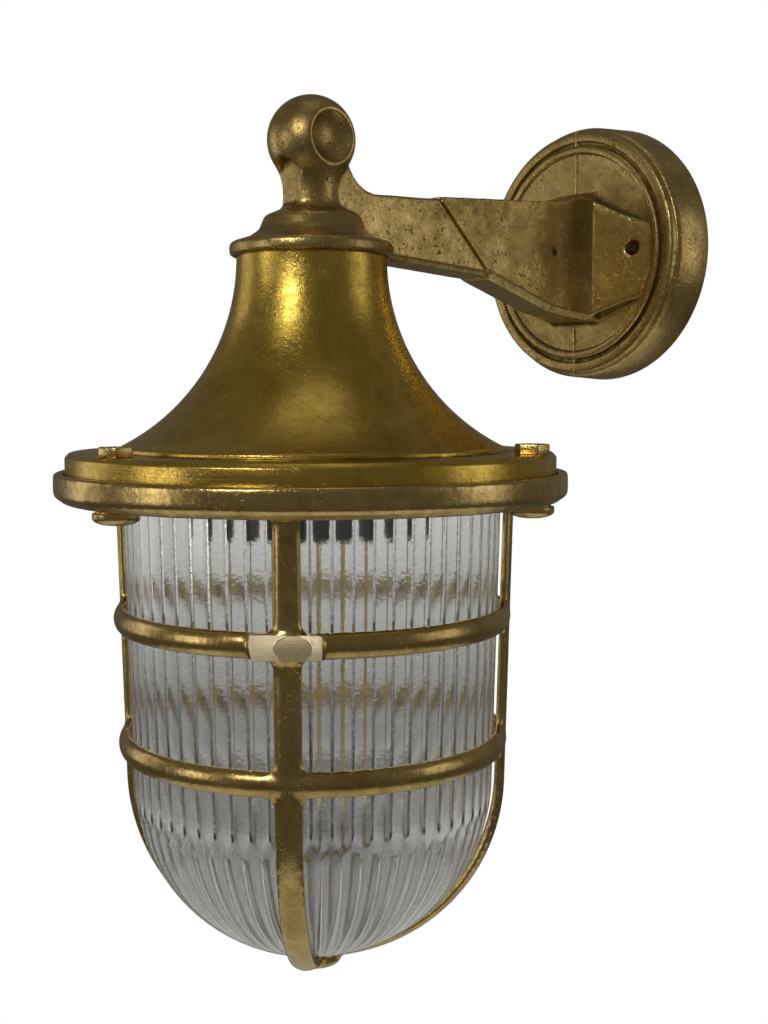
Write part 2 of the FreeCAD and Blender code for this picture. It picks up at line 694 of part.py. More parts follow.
def build_bolts():
    """Three button-head bolts from below, each with a washer."""
    for number in range(3):
        x, y = bolt_place(number)
        under = f"({LAND_LOW} - washer_thickness)"
        bolt = new_body(f"bolt_{number + 1}", "lantern")
        bolt.setExpression(".Placement.Base.x", bound(x))
        bolt.setExpression(".Placement.Base.y", bound(f"{y} - reach"))
        crown = "(head_height - head_edge)"
        dome = f"((head_radius - head_crown) ^ 2 + {crown} ^ 2) / (2 * {crown})"
        corners = [
            Corner("0", f"{under} - head_height"),
            Corner("head_crown", f"{under} - head_height", bulge=dome, side=1),
            Corner("head_radius", f"{under} - head_edge"),
            Corner("head_radius", under),
            Corner("bolt_radius", under),
            Corner("bolt_radius", "flange_top + nut_height - bolt_end"),
            Corner("0", "flange_top + nut_height - bolt_end"),
        ]
        revolve(bolt, drawn(bolt, "section", "XZ_Plane", corners))
        sketch = new_sketch(bolt, "socket", "XY_Plane", f"{under} - head_height + socket_depth")
        hexagon(sketch, "0", "0", "socket_flats")
        pocket(bolt, sketch, "socket_depth + 1")
        washer = new_body(f"bolt_washer_{number + 1}", "lantern")
        washer.setExpression(".Placement.Base.x", bound(x))
        washer.setExpression(".Placement.Base.y", bound(f"{y} - reach"))
        corners = polygon((HOLE_RADIUS, under), ("washer_radius", under),
                          ("washer_radius", LAND_LOW), (HOLE_RADIUS, LAND_LOW))
        revolve(washer, drawn(washer, "section", "XZ_Plane", corners))


def build_nuts():
    """Three thin nuts on the hood's flange, one sub-part."""
    nuts = []
    for number in range(3):
        x, y = bolt_place(number)
        prism = doc.addObject("Part::Prism", f"nut_{number + 1}_prism")
        prism.Polygon = 6
        prism.setExpression("Circumradius", bound("nut_flats / (2 * cos(30deg))"))
        prism.setExpression("Height", bound("nut_height"))
        cone = doc.addObject("Part::Cone", f"nut_{number + 1}_corners")
        cone.setExpression("Radius1", bound("nut_flats / (2 * cos(30deg)) + nut_height"))
        cone.setExpression("Radius2", bound("nut_flats / 2 - nut_chamfer"))
        cone.setExpression("Height", bound("nut_height"))
        hole = doc.addObject("Part::Cylinder", f"nut_{number + 1}_thread")
        hole.setExpression("Radius", bound("bolt_radius + thread_fit"))
        hole.setExpression("Height", bound("nut_height"))
        shaped = doc.addObject("Part::Common", f"nut_{number + 1}_shaped")
        shaped.Base = prism
        shaped.Tool = cone
        nut = doc.addObject("Part::Cut", f"nut_{number + 1}")
        nut.Base = shaped
        nut.Tool = hole
        nut.setExpression(".Placement.Base.x", bound(x))
        nut.setExpression(".Placement.Base.y", bound(y))
        nut.setExpression(".Placement.Base.z", bound("flange_top"))
        nuts.append(nut)
    group("hood_nuts", nuts, "lantern")


# ---------------------------------------------------------------- hood and what hangs in it

def build_hood():
    """Bell with a flat flange; its underside takes the jar's rim."""
    rise = f"({HOOD_TOP} - neck_straight - flange_top - bell_foot_rise)"
    run = "(bell_foot_radius - neck_radius)"
    bell = f"(({run}) ^ 2 + {rise} ^ 2) / (2 * {run})"
    centre = f"(neck_radius + ({bell}))"
    foot_level = "(flange_top - inner_foot)"
    inner_radius = f"(({bell}) + hood_wall)"
    level = f"({HOOD_TOP} - neck_straight)"
    foot_inside = f"({centre} - sqrt({inner_radius} ^ 2 - ({level} - {foot_level}) ^ 2))"
    recess = "(rim_radius + rim_clearance)"
    corners = [
        Corner(recess, FLANGE_LOW),
        Corner("flange_radius", FLANGE_LOW),
        Corner("flange_radius", "flange_top - flange_bevel", "flange_round"),
        Corner("flange_radius - flange_bevel", "flange_top", "flange_round"),
        Corner("bell_foot_radius", "flange_top"),
        Corner("bell_foot_radius", "flange_top + bell_foot_rise", bulge=bell, side=-1),
        Corner("neck_radius", level),
        Corner("neck_radius", HOOD_TOP),
        Corner("nipple_radius + thread_fit", HOOD_TOP),
        Corner("nipple_radius + thread_fit", f"{HOOD_TOP} - hood_roof"),
        Corner("neck_radius - hood_wall", f"{HOOD_TOP} - hood_roof"),
        Corner("neck_radius - hood_wall", level, bulge=inner_radius, side=1),
        Corner(foot_inside, foot_level),
        Corner(foot_inside, SEAL_HIGH_TOP),
        Corner(recess, SEAL_HIGH_TOP),
    ]
    body = turned("hood", "lantern", corners)
    for number in range(3):
        x, y = bolt_place(number)
        sketch = new_sketch(body, f"hole{number}", "XY_Plane", "flange_top + 1")
        circle(sketch, x, y, HOLE_RADIUS)
        pocket(body, sketch, "flange_top")
    return body


def build_nipple():
    """Hollow threaded tube from the cap down to the lampholder."""
    low = f"({HOLDER_TOP} - neck_thread + nipple_short)"
    high = "(drop - chamber_floor)"
    ring("nipple", "lantern", "nipple_bore", "nipple_radius", low, high)
    under_roof = f"({HOOD_TOP} - hood_roof)"
    ring("nipple_washer", "lantern", "nipple_radius + thread_fit", "spreader_radius",
         f"{under_roof} - spreader_thickness", under_roof)
    nut = new_body("nipple_locknut", "lantern")
    sketch = new_sketch(nut, "hexagon", "XY_Plane",
                        f"{under_roof} - spreader_thickness - locknut_height")
    hexagon(sketch, "0", "0", "locknut_flats")
    circle(sketch, "0", "0", "nipple_radius + thread_fit")
    pad(nut, sketch, "locknut_height")
    ring("cap_seal", "lantern", "nipple_radius + seal_edge", "neck_radius - seal_edge",
         HOOD_TOP, f"{HOOD_TOP} + cap_seal")


def build_lampholder():
    """Screw-thread lampholder: insulating body, shell, centre contact and terminals."""
    mouth = "(0 - holder_mouth)"
    shelf = f"({SHELF_TOP} - shelf_thickness)"
    corners = polygon(
        ("socket_radius", mouth),
        ("holder_radius", mouth, "holder_edge"),
        ("holder_radius", f"{HOLDER_NECK_LOW} - holder_shoulder", "holder_round"),
        ("holder_neck", HOLDER_NECK_LOW, "neck_round"),
        ("holder_neck", HOLDER_TOP, "holder_edge"),
        ("nipple_radius + thread_fit", HOLDER_TOP),
        ("nipple_radius + thread_fit", f"{HOLDER_TOP} - neck_thread"),
        (HOLDER_CAVITY, f"{HOLDER_NECK_LOW} - cavity_drop"),
        (HOLDER_CAVITY, SHELF_TOP),
        ("stem_hole", SHELF_TOP),
        ("stem_hole", shelf),
        ("socket_radius", shelf),
    )
    turned("lampholder_body", "lantern", corners)
    ring("lampholder_shell", "lantern", "socket_radius - shell_wall", "socket_radius",
         f"{mouth} + shell_inset", f"{mouth} + shell_inset + shell_length")
    turned("lampholder_contact", "lantern", polygon(
        ("0", f"{shelf} - contact_height"),
        ("contact_radius", f"{shelf} - contact_height", "contact_round"),
        ("contact_radius", shelf),
        ("contact_stem", shelf),
        ("contact_stem", SHELF_TOP),
        ("0", SHELF_TOP),
    ))
    for side, sign in (("left", -1), ("right", 1)):
        pillar = new_body(f"lampholder_terminal_{side}", "lantern")
        sketch = new_sketch(pillar, "round", "XY_Plane", SHELF_TOP)
        circle(sketch, f"({sign}) * pillar_offset", "0", "pillar_radius")
        pad(pillar, sketch, "pillar_height")
        sketch = new_sketch(pillar, "wire", "XY_Plane", f"{SHELF_TOP} + pillar_height")
        circle(sketch, f"({sign}) * pillar_offset", "0",
               "lead_radius + wire_clearance")
        pocket(pillar, sketch, "pillar_height - pillar_floor")


# ---------------------------------------------------------------- cap and arm castings

def build_cap_arm():
    """Cap, finial and the outer half of the arm, cast in one."""
    body = new_body("cap_arm", "arm")
    seat = "(cap_seal - cap_drop)"
    low = "(0 - cap_drop - cap_skirt)"
    bore = "(neck_radius + cap_clearance)"
    sine = "((stem_radius + waist_bend) / (ball_radius + waist_bend))"
    meet_r = f"(ball_radius * {sine})"
    meet_z = f"(ball_height - ball_radius * sqrt(1 - {sine} ^ 2))"
    bend_z = f"(ball_height - (ball_radius + waist_bend) * sqrt(1 - {sine} ^ 2))"
    corners = [
        Corner("nipple_radius + thread_fit", seat),
        Corner(bore, seat),
        Corner(bore, low),
        Corner(f"{bore} + cap_wall", low, "skirt_round"),
        Corner(f"{bore} + cap_wall", f"{low} + cap_lip", "lip_round"),
        Corner("shoulder_radius + cone_foot", f"{low} + cap_lip + cone_foot_rise", "cone_round"),
        Corner("shoulder_radius + cone_waist", "shoulder_height - cone_waist_drop", "cone_round"),
        Corner("shoulder_radius", "shoulder_height", "shoulder_round"),
        Corner("stem_radius", "shoulder_height + stem_foot", "stem_round"),
        Corner("stem_radius", bend_z, bulge="waist_bend", side=-1),
        Corner(meet_r, meet_z, bulge="ball_radius", side=1),
        Corner("ball_radius", "ball_height", bulge="ball_radius", side=1),
        Corner("0", "ball_height + ball_radius"),
        Corner("0", "chamber_top"),
        Corner("chamber_radius", "chamber_top", "chamber_round"),
        Corner("chamber_radius", "0 - chamber_floor"),
        Corner("nipple_radius + thread_fit", "0 - chamber_floor"),
    ]
    mitre_top = f"{MITRE_IN_ARM} - arm_top_far"
    mitre_low = f"{MITRE_IN_ARM} + arm_low_far"
    side = polygon(
        ("stem_radius - 1", "arm_top_near"),
        ("stem_radius - 1", "0 - arm_low_near - 0.6"),
        (mitre_low, "0 - arm_low_far"),
        (mitre_top, "arm_top_far"),
    )
    pad(body, drawn(body, "arm", "YZ_Plane", side), "2 * arm_half_width", symmetric=True)
    chamfer(body, lambda edge: is_low_side(edge, "arm_half_width"), "arm_bevel")
    revolve(body, drawn(body, "section", "XZ_Plane", corners))
    cut_ball(body)
    hollow = polygon(("0", "0 - chamber_floor"), ("chamber_radius", "0 - chamber_floor"),
                     ("chamber_radius", "chamber_top", "chamber_round"), ("0", "chamber_top"))
    revolve(body, drawn(body, "chamber", "XZ_Plane", hollow), cut=True)
    under = polygon(("0", low), (bore, low), (bore, seat), ("0", seat))
    revolve(body, drawn(body, "recess", "XZ_Plane", under), cut=True)
    sketch = new_sketch(body, "duct", "XZ_Plane")
    circle(sketch, "0", "duct_height", "duct_radius")
    pocket(body, sketch, "reach")


def is_low_side(edge, half_width):
    """One of the arm's two lower edges, which run along its sides."""
    ends = [vertex.Point for vertex in edge.Vertexes]
    if len(ends) != 2:
        return False
    outside = all(abs(point.x) > size(half_width) - 0.01 for point in ends)
    same_side = ends[0].x * ends[1].x > 0
    below = all(point.z < 0 for point in ends)
    run = abs((ends[1] - ends[0]).y)
    fall = abs((ends[1] - ends[0]).z)
    return outside and same_side and below and run > 10 and fall < run / 2


def cut_ball(body):
    """Flats and dishes on the ball's sides, arched panels on the stem's front and back."""
    reach_out = "ball_radius + 2"
    flat = polygon(
        ("ball_flat", "ball_height - ball_radius"),
        (reach_out, "ball_height - ball_radius"),
        (reach_out, "ball_height + ball_radius"),
        ("ball_flat", "ball_height + ball_radius"),
    )
    flat_cut = pocket(body, drawn(body, "flat", "XZ_Plane", flat), "2 * ball_radius",
                      symmetric=True)
    mirror(body, [flat_cut], "YZ_Plane")
    curve = "(dish_radius ^ 2 + dish_depth ^ 2) / (2 * dish_depth)"
    for number, sign in enumerate((1, -1)):
        dish = doc.addObject("Part::Sphere", f"dish_{number}")
        dish.setExpression("Radius", bound(curve))
        centre = f"({sign}) * (ball_flat - dish_depth + ({curve}))"
        dish.setExpression(".Placement.Base.x", bound(centre))
        dish.setExpression(".Placement.Base.z", bound("ball_height"))
        cut_with(body, dish)
    panel = [
        Corner("0 - arch_width / 2", "shoulder_height + arch_foot"),
        Corner("arch_width / 2", "shoulder_height + arch_foot"),
        Corner("arch_width / 2", "arch_top - arch_width / 2", bulge="arch_width / 2 + 0.001"),
        Corner("0 - arch_width / 2", "arch_top - arch_width / 2"),
    ]
    sketch = drawn(body, "arch", "XZ_Plane", panel, "arch_face")
    arch = pocket(body, sketch, "ball_radius", reverse=True)
    mirror(body, [arch], "XZ_Plane")


def cut_with(body, tool):
    """Take a Part primitive out of a body."""
    volume = body.Shape.Volume
    feature = body.newObject("PartDesign::Boolean", f"{tool.Name}_cut")
    feature.Type = "Cut"
    feature.addObject(tool)
    body.Tip = feature
    doc.recompute()
    if body.Shape.Volume >= volume:
        raise RuntimeError(f"{feature.Name} cuts nothing")


def build_wall_arm():
    """Wall plate, drum and the inner half of the arm, cast in one."""
    body = new_body("wall_arm", "wall")
    add_root(body)
    front = "(0 - plate_depth)"
    field = f"({front} + field_inset)"
    bead_inner = "(groove_inner - bead_width)"
    bead_face = f"({front} - bead_height)"
    groove_floor = f"({front} + groove_depth)"
    gasket_out = "(drum_radius - gasket_inset)"
    gasket_in = f"({gasket_out} - gasket_width)"
    cavity = "(drum_radius - drum_wall)"
    plate_back = f"({field} + plate_wall)"
    corners = polygon(
        ("0", plate_back),
        (cavity, plate_back, "cavity_round"),
        (cavity, "0"),
        (gasket_in, "0"),
        (gasket_in, "0 - gasket_depth"),
        (gasket_out, "0 - gasket_depth"),
        (gasket_out, "0"),
        ("drum_radius", "0", "drum_round"),
        ("drum_radius - shoulder_inset", "0 - shoulder_depth", "shoulder_edge"),
        ("band_radius", "0 - shoulder_depth"),
        ("band_radius", front, "band_round"),
        ("groove_outer", front, "groove_round"),
        ("groove_outer", groove_floor),
        ("groove_inner", groove_floor),
        ("groove_inner", bead_face, "bead_round"),
        (bead_inner, bead_face, "bead_round"),
        (bead_inner, field),
        ("0", field),
    )
    revolve(body, drawn(body, "drum", "XY_Plane", corners), "Y_Axis")
    for sign, side in ((-1, "left"), (1, "right")):
        sketch = new_sketch(body, f"post_{side}", "XZ_Plane")
        circle(sketch, f"({sign}) * screw_spacing / 2", "0", "post_radius")
        pad(body, sketch, f"{BLOCK_BACK} + 1")
    for sign, side in ((-1, "left"), (1, "right")):
        sketch = new_sketch(body, f"screw_{side}", "XZ_Plane")
        circle(sketch, f"({sign}) * screw_spacing / 2", "0", "screw_hole_radius")
        pocket(body, sketch, "plate_depth + ridge_proud + 1", reverse=True)
    sketch = new_sketch(body, "duct", "XZ_Plane")
    circle(sketch, "0", "duct_height", "duct_radius")
    pocket(body, sketch, "mitre_reach + arm_top_far + 5", reverse=True)
    inside = f"({BLOCK_BACK} - 1)"
    holes = (
        ("earth", "earth_x", "earth_z", "earth_radius + thread_fit", "blind_hole"),
        ("block_screw", "0 - way_pitch / 2", "0 - block_drop", "block_screw_radius + thread_fit",
         "blind_hole"),
        ("mouth", "0", "duct_height", "duct_radius + grommet_wall",
         "grommet_length - grommet_space"),
    )
    for name, x, z, radius, depth in holes:
        sketch = new_sketch(body, name, "XZ_Plane", inside)
        circle(sketch, x, z, radius)
        pocket(body, sketch, depth, reverse=True)
    sketch = new_sketch(body, "spot", "YZ_Plane", "ridge_half_width")
    circle(sketch, "0 - spot_reach", "0 - spot_drop", "spot_radius")
    pocket(body, sketch, "ridge_half_width - root_half_width + spot_depth")


def add_root(body):
    """The arm's inner half: one side view, then trimmed in plan and from the front."""
    front = "(0 - plate_depth + field_inset)"
    ridge_y = f"(0 - plate_depth - ridge_proud)"
    flare_y = f"({ridge_y} - flare_length)"
    top = "(arm_top_far + mitre_step)"
    low = "(arm_low_far + mitre_step)"
    mitre_top = f"(0 - mitre_reach - {top})"
    mitre_low = f"({low} - mitre_reach)"
    curve = "((flare_top - root_top) ^ 2 + flare_length ^ 2) / (2 * (flare_top - root_top))"
    side = [
        Corner(mitre_top, top),
        Corner(mitre_low, f"0 - {low}"),
        Corner(flare_y, "0 - root_low"),
        Corner(ridge_y, "0 - flare_low"),
        Corner(f"{front} + 1", "0 - flare_low"),
        Corner(f"{front} + 1", "flare_top"),
        Corner(ridge_y, "flare_top", bulge=f"2 * {curve}", side=-1),
        Corner(flare_y, "root_top"),
    ]
    pad(body, drawn(body, "arm", "YZ_Plane", side), "2 * pad_reach", symmetric=True)
    out = "ridge_half_width - root_half_width"
    bend = f"(({out}) ^ 2 + flare_length ^ 2) / (2 * ({out}))"
    far = f"(0 - mitre_reach - arm_low_far - 20)"
    beside = [
        Corner("root_half_width", far),
        Corner("pad_reach + 1", far),
        Corner("pad_reach + 1", front),
        Corner("pad_reach", front),
        Corner("ridge_half_width", ridge_y, bulge=bend, side=1),
        Corner("root_half_width", flare_y),
    ]
    trimmed = pocket(body, drawn(body, "beside", "XY_Plane", beside), "4 * flare_low",
                     symmetric=True)
    above = polygon(
        ("root_half_width - 1", "flare_top + 1"),
        ("ridge_half_width", "pad_ridge_top"),
        ("pad_reach + 1", "pad_tip_top"),
        ("pad_reach + 1", "flare_top + 1"),
    )
    below = polygon(
        ("ridge_half_width", "0.2 + root_bevel - flare_low"),
        ("pad_reach + 1", "0 - pad_tip_low"),
        ("pad_reach + 1", "0 - flare_low - 1"),
        ("ridge_half_width", "0 - flare_low - 1"),
    )
    sketch = new_sketch(body, "pad_edges", "XZ_Plane", "plate_depth - field_inset")
    outline(sketch, above)
    outline(sketch, below)
    edges = pocket(body, sketch, "ridge_proud + flare_length", reverse=True)
    mirror(body, [trimmed, edges], "YZ_Plane")
    chamfer(body, lambda edge: is_low_side(edge, "root_half_width"), "root_bevel")


def build_wall_gasket():
    outer = "(drum_radius - gasket_inset)"
    inner = f"({outer} - gasket_width)"
    corners = polygon((inner, "0 - gasket_depth"), (outer, "0 - gasket_depth"),
                      (outer, "0"), (inner, "0"))
    turned("wall_gasket", "wall", corners, "Y_Axis")


# ---------------------------------------------------------------- wiring

def build_grommet():
    body = new_body("duct_grommet", "wall")
    lip = "grommet_thickness"
    rings = (
        ("sleeve", BLOCK_BACK, "duct_radius + grommet_wall", f"grommet_length - {lip}"),
        ("lip", f"{BLOCK_BACK} - {lip}", "duct_radius + grommet_wall + grommet_lip", lip),
    )
    for name, plane, radius, length in rings:
        sketch = new_sketch(body, name, "XZ_Plane", plane)
        circle(sketch, "0", "duct_height", radius)
        circle(sketch, "0", "duct_height", "duct_radius")
        pad(body, sketch, length)


def way_x(number):
    """Across to one of the terminal block's three ways."""
    return f"({number - 1}) * way_pitch"


def build_terminal_block():
    """Three-way screw connector on the plate's back, with the cores in at its top."""
    face = f"({BLOCK_BACK} - block_depth)"
    body = new_body("terminal_block", "wall")
    sketch = new_sketch(body, "front", "XZ_Plane", face)
    outline(sketch, polygon(
        ("0 - block_width / 2", "0 - block_drop - block_height / 2", "block_corner"),
        ("block_width / 2", "0 - block_drop - block_height / 2", "block_corner"),
        ("block_width / 2", "block_height / 2 - block_drop", "block_corner"),
        ("0 - block_width / 2", "block_height / 2 - block_drop", "block_corner"),
    ))
    pad(body, sketch, "block_depth")
    sketch = new_sketch(body, "ways", "XY_Plane", "block_height / 2 - block_drop + 1")
    for number in range(3):
        circle(sketch, way_x(number), f"0 - {WAY_LEVEL}", "way_radius")
    pocket(body, sketch, "block_height + 2")
    sketch = new_sketch(body, "screws", "XZ_Plane", face)
    screw_holes(sketch, "block_screw_radius + screw_clearance")
    pocket(body, sketch, "block_depth / 2", reverse=True)
    sketch = new_sketch(body, "fixing", "XZ_Plane", face)
    circle(sketch, "0 - way_pitch / 2", "0 - block_drop", "block_screw_radius + screw_clearance")
    pocket(body, sketch, "block_depth + 1", reverse=True)
    for number in range(3):
        insert = new_body(f"terminal_insert_{number + 1}", "wall")
        sketch = new_sketch(insert, "tube", "XY_Plane", "insert_inset - block_drop - block_height / 2")
        circle(sketch, way_x(number), f"0 - {WAY_LEVEL}", "way_radius")
        circle(sketch, way_x(number), f"0 - {WAY_LEVEL}", "way_bore")
        pad(insert, sketch, "block_height - 2 * insert_inset")
        sketch = new_sketch(insert, "screws", "XZ_Plane", face)
        for lift in (-1, 1):
            circle(sketch, way_x(number), f"({lift}) * block_height / 4 - block_drop",
                   "block_screw_radius + thread_fit")
        pocket(insert, sketch, "block_depth / 2 - way_bore / 2", reverse=True)
    build_block_screws(face)


def screw_holes(sketch, radius):
    """Two circles over each of the terminal block's ways."""
    for number in range(3):
        for lift in (-1, 1):
            circle(sketch, way_x(number), f"({lift}) * block_height / 4 - block_drop", radius)


def cylinder(name, radius, length, x, y, z):
    """A pin along -Y from (x, y, z)."""
    pin_shape = doc.addObject("Part::Cylinder", name)
    pin_shape.Placement.Rotation = FreeCAD.Rotation(Vector(1, 0, 0), 90)
    pin_shape.setExpression("Radius", bound(radius))
    pin_shape.setExpression("Height", bound(length))
    for axis, expression in zip("xyz", (x, y, z)):
        pin_shape.setExpression(f".Placement.Base.{axis}", bound(expression))
    return pin_shape


def group(name, pieces, frame):
    """Several like solids as one sub-part."""
    compound = doc.addObject("Part::Compound", name)
    compound.Label = name
    compound.Links = pieces
    place(compound, frame)


def build_block_screws(face):
    length = "(block_depth / 2 - way_bore - screw_gap)"
    screws = []
    for number in range(3):
        for lift in (-1, 1):
            name = f"terminal_screw_{len(screws) + 1}"
            screws.append(cylinder(name, "block_screw_radius", length, way_x(number),
                                   f"0 - {face} - screw_recess",
                                   f"({lift}) * block_height / 4 - block_drop"))
    group("terminal_screws", screws, "wall")
    fixing = new_body("block_fixing_screw", "wall")
    sketch = new_sketch(fixing, "shank", "XZ_Plane", face)
    circle(sketch, "0 - way_pitch / 2", "0 - block_drop", "block_screw_radius")
    pad(fixing, sketch, "block_depth + fixing_grip")
    sketch = new_sketch(fixing, "head", "XZ_Plane", f"{face} - fixing_head_height")
    circle(sketch, "0 - way_pitch / 2", "0 - block_drop", "block_screw_radius + fixing_head")
    pad(fixing, sketch, "fixing_head_height")


def build_earth():
    """Earth tag under a screw on the plate's back."""
    tag = new_body("earth_tag", "wall")
    sketch = new_sketch(tag, "ring", "XZ_Plane", f"{BLOCK_BACK} - tag_thickness")
    circle(sketch, "earth_x", "earth_z", "tag_radius")
    circle(sketch, "earth_x", "earth_z", "earth_radius + tag_clearance")
    pad(tag, sketch, "tag_thickness")
    sketch = new_sketch(tag, "barrel", "XY_Plane", "earth_z - tag_radius - barrel_length")
    circle(sketch, "earth_x", f"0 - {BARREL_LEVEL}", "lead_radius + barrel_wall")
    circle(sketch, "earth_x", f"0 - {BARREL_LEVEL}", "lead_radius")
    pad(tag, sketch, "barrel_length + barrel_overlap")
    screw = new_body("earth_screw", "wall")
    sketch = new_sketch(screw, "shank", "XZ_Plane", f"{BLOCK_BACK} - tag_thickness")
    circle(sketch, "earth_x", "earth_z", "earth_radius")
    pad(screw, sketch, "tag_thickness + earth_grip")
    sketch = new_sketch(screw, "head", "XZ_Plane", f"{BLOCK_BACK} - tag_thickness - earth_head_height")
    circle(sketch, "earth_x", "earth_z", "earth_head")
    pad(screw, sketch, "earth_head_height")


def rounded_path(points, bends):
    """Straight runs joined by tangent arcs, one radius for each inner point."""
    edges = []
    start = points[0]
    for before, corner, after, bend in zip(points, points[1:], points[2:], bends):
        inward = (before - corner).normalize()
        onward = (after - corner).normalize()
        half_turn = (math.pi - inward.getAngle(onward)) / 2
        step = bend * math.tan(half_turn)
        first = corner + inward * step
        last = corner + onward * step
        middle_way = (inward + onward).normalize()
        centre_far = bend / math.cos(half_turn)
        middle = corner + middle_way * (centre_far - bend)
        edges.append(Part.LineSegment(start, first).toShape())
        edges.append(Part.Arc(first, middle, last).toShape())
        start = last
    edges.append(Part.LineSegment(start, points[-1]).toShape())
    return Part.Wire(edges)


def lead(name, route):
    """An insulated core swept along a route of (x, y, z, bend) expressions."""
    points = [Vector(size(x), size(y), size(z)) for x, y, z, _ in route]
    bends = [size(bend) for _, _, _, bend in route[1:-1]]
    path = rounded_path(points, bends)
    direction = points[1] - points[0]
    section = Part.Wire(Part.makeCircle(size("lead_radius"), points[0], direction))
    solid = Part.Solid(path.makePipeShell([section], True, False))
    expected = math.pi * size("lead_radius") ** 2 * path.Length
    if abs(solid.Volume - expected) > 0.01 * expected:
        raise RuntimeError(f"{name} is not a plain round core")
    print(f"{name}: {path.Length:.0f} mm long, bends {', '.join(f'{bend:.1f}' for bend in bends)}")
    piece = doc.addObject("Part::Feature", name)
    piece.Label = name
    piece.Shape = solid
    place(piece, "wall")


def build_leads():
    """Live and neutral run from the block through the arm to the lampholder; earth to its tag."""
    entry = "(block_height / 2 - block_drop)"
    pillar_top = f"({SHELF_TOP} + pillar_height - drop)"
    for name, number, sign in (("lead_live", 0, -1), ("lead_neutral", 1, 1)):
        across = f"({sign}) * lead_offset"
        lead(name, [
            (way_x(number), f"0 - {WAY_LEVEL}", f"{entry} - 4", "0"),
            (way_x(number), f"0 - {WAY_LEVEL}", f"{entry} + 9", "7"),
            (across, f"0 - {WAY_LEVEL}", "duct_height", "4.5"),
            (across, "0 - reach", "duct_height", "chamber_radius - 2.6"),
            (across, "0 - reach", f"{pillar_top} + 4", "3"),
            (f"({sign}) * pillar_offset", "0 - reach", f"{pillar_top} + 3.2", "2"),
            (f"({sign}) * pillar_offset", "0 - reach", f"{pillar_top} - 2", "0"),
        ])
    lead("lead_earth", [
        (way_x(2), f"0 - {WAY_LEVEL}", f"{entry} - 4", "0"),
        (way_x(2), f"0 - {WAY_LEVEL}", f"{entry} + 8", "6"),
        ("earth_x", f"0 - {BARREL_LEVEL}", "0 - 1", "6"),
        ("earth_x", f"0 - {BARREL_LEVEL}", f"earth_z - tag_radius - barrel_length + 2", "0"),
    ])


# ---------------------------------------------------------------- build, check and write

build_cage()
build_glass()
build_seals()
build_bolts()
build_nuts()
build_hood()
build_nipple()
build_lampholder()
build_cap_arm()
build_wall_arm()
build_wall_gasket()
build_grommet()
build_terminal_block()
build_earth()
build_leads()
doc.recompute()

faults = [item.Name for item in doc.Objects if {"Invalid", "Error"} & set(item.State)]
for piece in subparts:
    shape = piece.Shape
    if shape.isNull() or not shape.isValid() or not shape.Solids:
        faults.append(piece.Label)
if faults:
    raise RuntimeError("not built: " + ", ".join(faults))

os.makedirs("parts", exist_ok=True)
for piece in subparts:
    piece.Shape.exportStep(os.path.join("parts", piece.Label + ".step"))
    print(f"{piece.Label}: {piece.Shape.Volume:.0f} mm3, {len(piece.Shape.Solids)} solid")
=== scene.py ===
"""Brass ship lantern on a wall arm: its finished pieces, built round the fixed frame.

The frame is in metres: +Y into the wall, +Z up, and the origin on the wall behind
the middle of the plate. Sizes are in millimetres, and MM turns them into metres.
Heights on the lantern are taken from the underside of the cage's ring, and those on
the cap casting from the arm's level, which is the frame's own zero.
"""
import json
import math

import bpy
from bpy.props import FloatProperty, FloatVectorProperty, IntProperty, PointerProperty
from mathutils import Matrix, Vector

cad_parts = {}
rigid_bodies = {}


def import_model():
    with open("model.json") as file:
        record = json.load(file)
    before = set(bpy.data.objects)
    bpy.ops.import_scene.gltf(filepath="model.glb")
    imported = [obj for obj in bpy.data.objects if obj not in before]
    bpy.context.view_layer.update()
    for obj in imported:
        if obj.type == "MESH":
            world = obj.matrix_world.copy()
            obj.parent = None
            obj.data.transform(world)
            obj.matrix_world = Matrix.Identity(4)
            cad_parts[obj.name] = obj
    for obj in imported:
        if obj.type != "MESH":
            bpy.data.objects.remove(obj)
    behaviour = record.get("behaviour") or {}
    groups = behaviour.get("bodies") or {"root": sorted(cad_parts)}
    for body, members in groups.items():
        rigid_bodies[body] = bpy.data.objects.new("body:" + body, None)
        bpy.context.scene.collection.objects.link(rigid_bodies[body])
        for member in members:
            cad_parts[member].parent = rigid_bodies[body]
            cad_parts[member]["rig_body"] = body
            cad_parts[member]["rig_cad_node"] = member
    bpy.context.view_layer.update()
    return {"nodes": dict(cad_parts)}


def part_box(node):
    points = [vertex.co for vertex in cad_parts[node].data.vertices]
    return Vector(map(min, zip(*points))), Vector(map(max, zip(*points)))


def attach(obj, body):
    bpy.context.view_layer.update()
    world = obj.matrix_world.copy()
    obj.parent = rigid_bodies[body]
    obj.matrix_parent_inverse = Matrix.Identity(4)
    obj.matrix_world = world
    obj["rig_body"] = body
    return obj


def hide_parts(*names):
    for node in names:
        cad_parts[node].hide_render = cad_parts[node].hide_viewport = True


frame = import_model()

bl_info = {
    "name": "Ship Lantern",
    "version": (1, 0, 0),
    "blender": (4, 5, 0),
    "location": "3D View > Sidebar > Lantern",
    "description": "Builds a cast brass ship lantern with a reeded glass jar",
    "category": "Add Mesh",
}

MM = 0.001
JAR_LOW, JAR_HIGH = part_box("glass")
CAGE_LOW, CAGE_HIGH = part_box("cage")
HOOD_LOW, HOOD_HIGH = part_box("hood")
RING_HEIGHT = 8.5 * MM
AXIS = Vector(((JAR_LOW.x + JAR_HIGH.x) / 2, (JAR_LOW.y + JAR_HIGH.y) / 2, 0))
RING = AXIS + Vector((0, 0, CAGE_HIGH.z - RING_HEIGHT))


# Ways round the lantern in degrees; 0 is the front and 90 is +X.
FLAT_AZIMUTH = 45
RIB_AZIMUTHS = (45, 135, 225, 315)
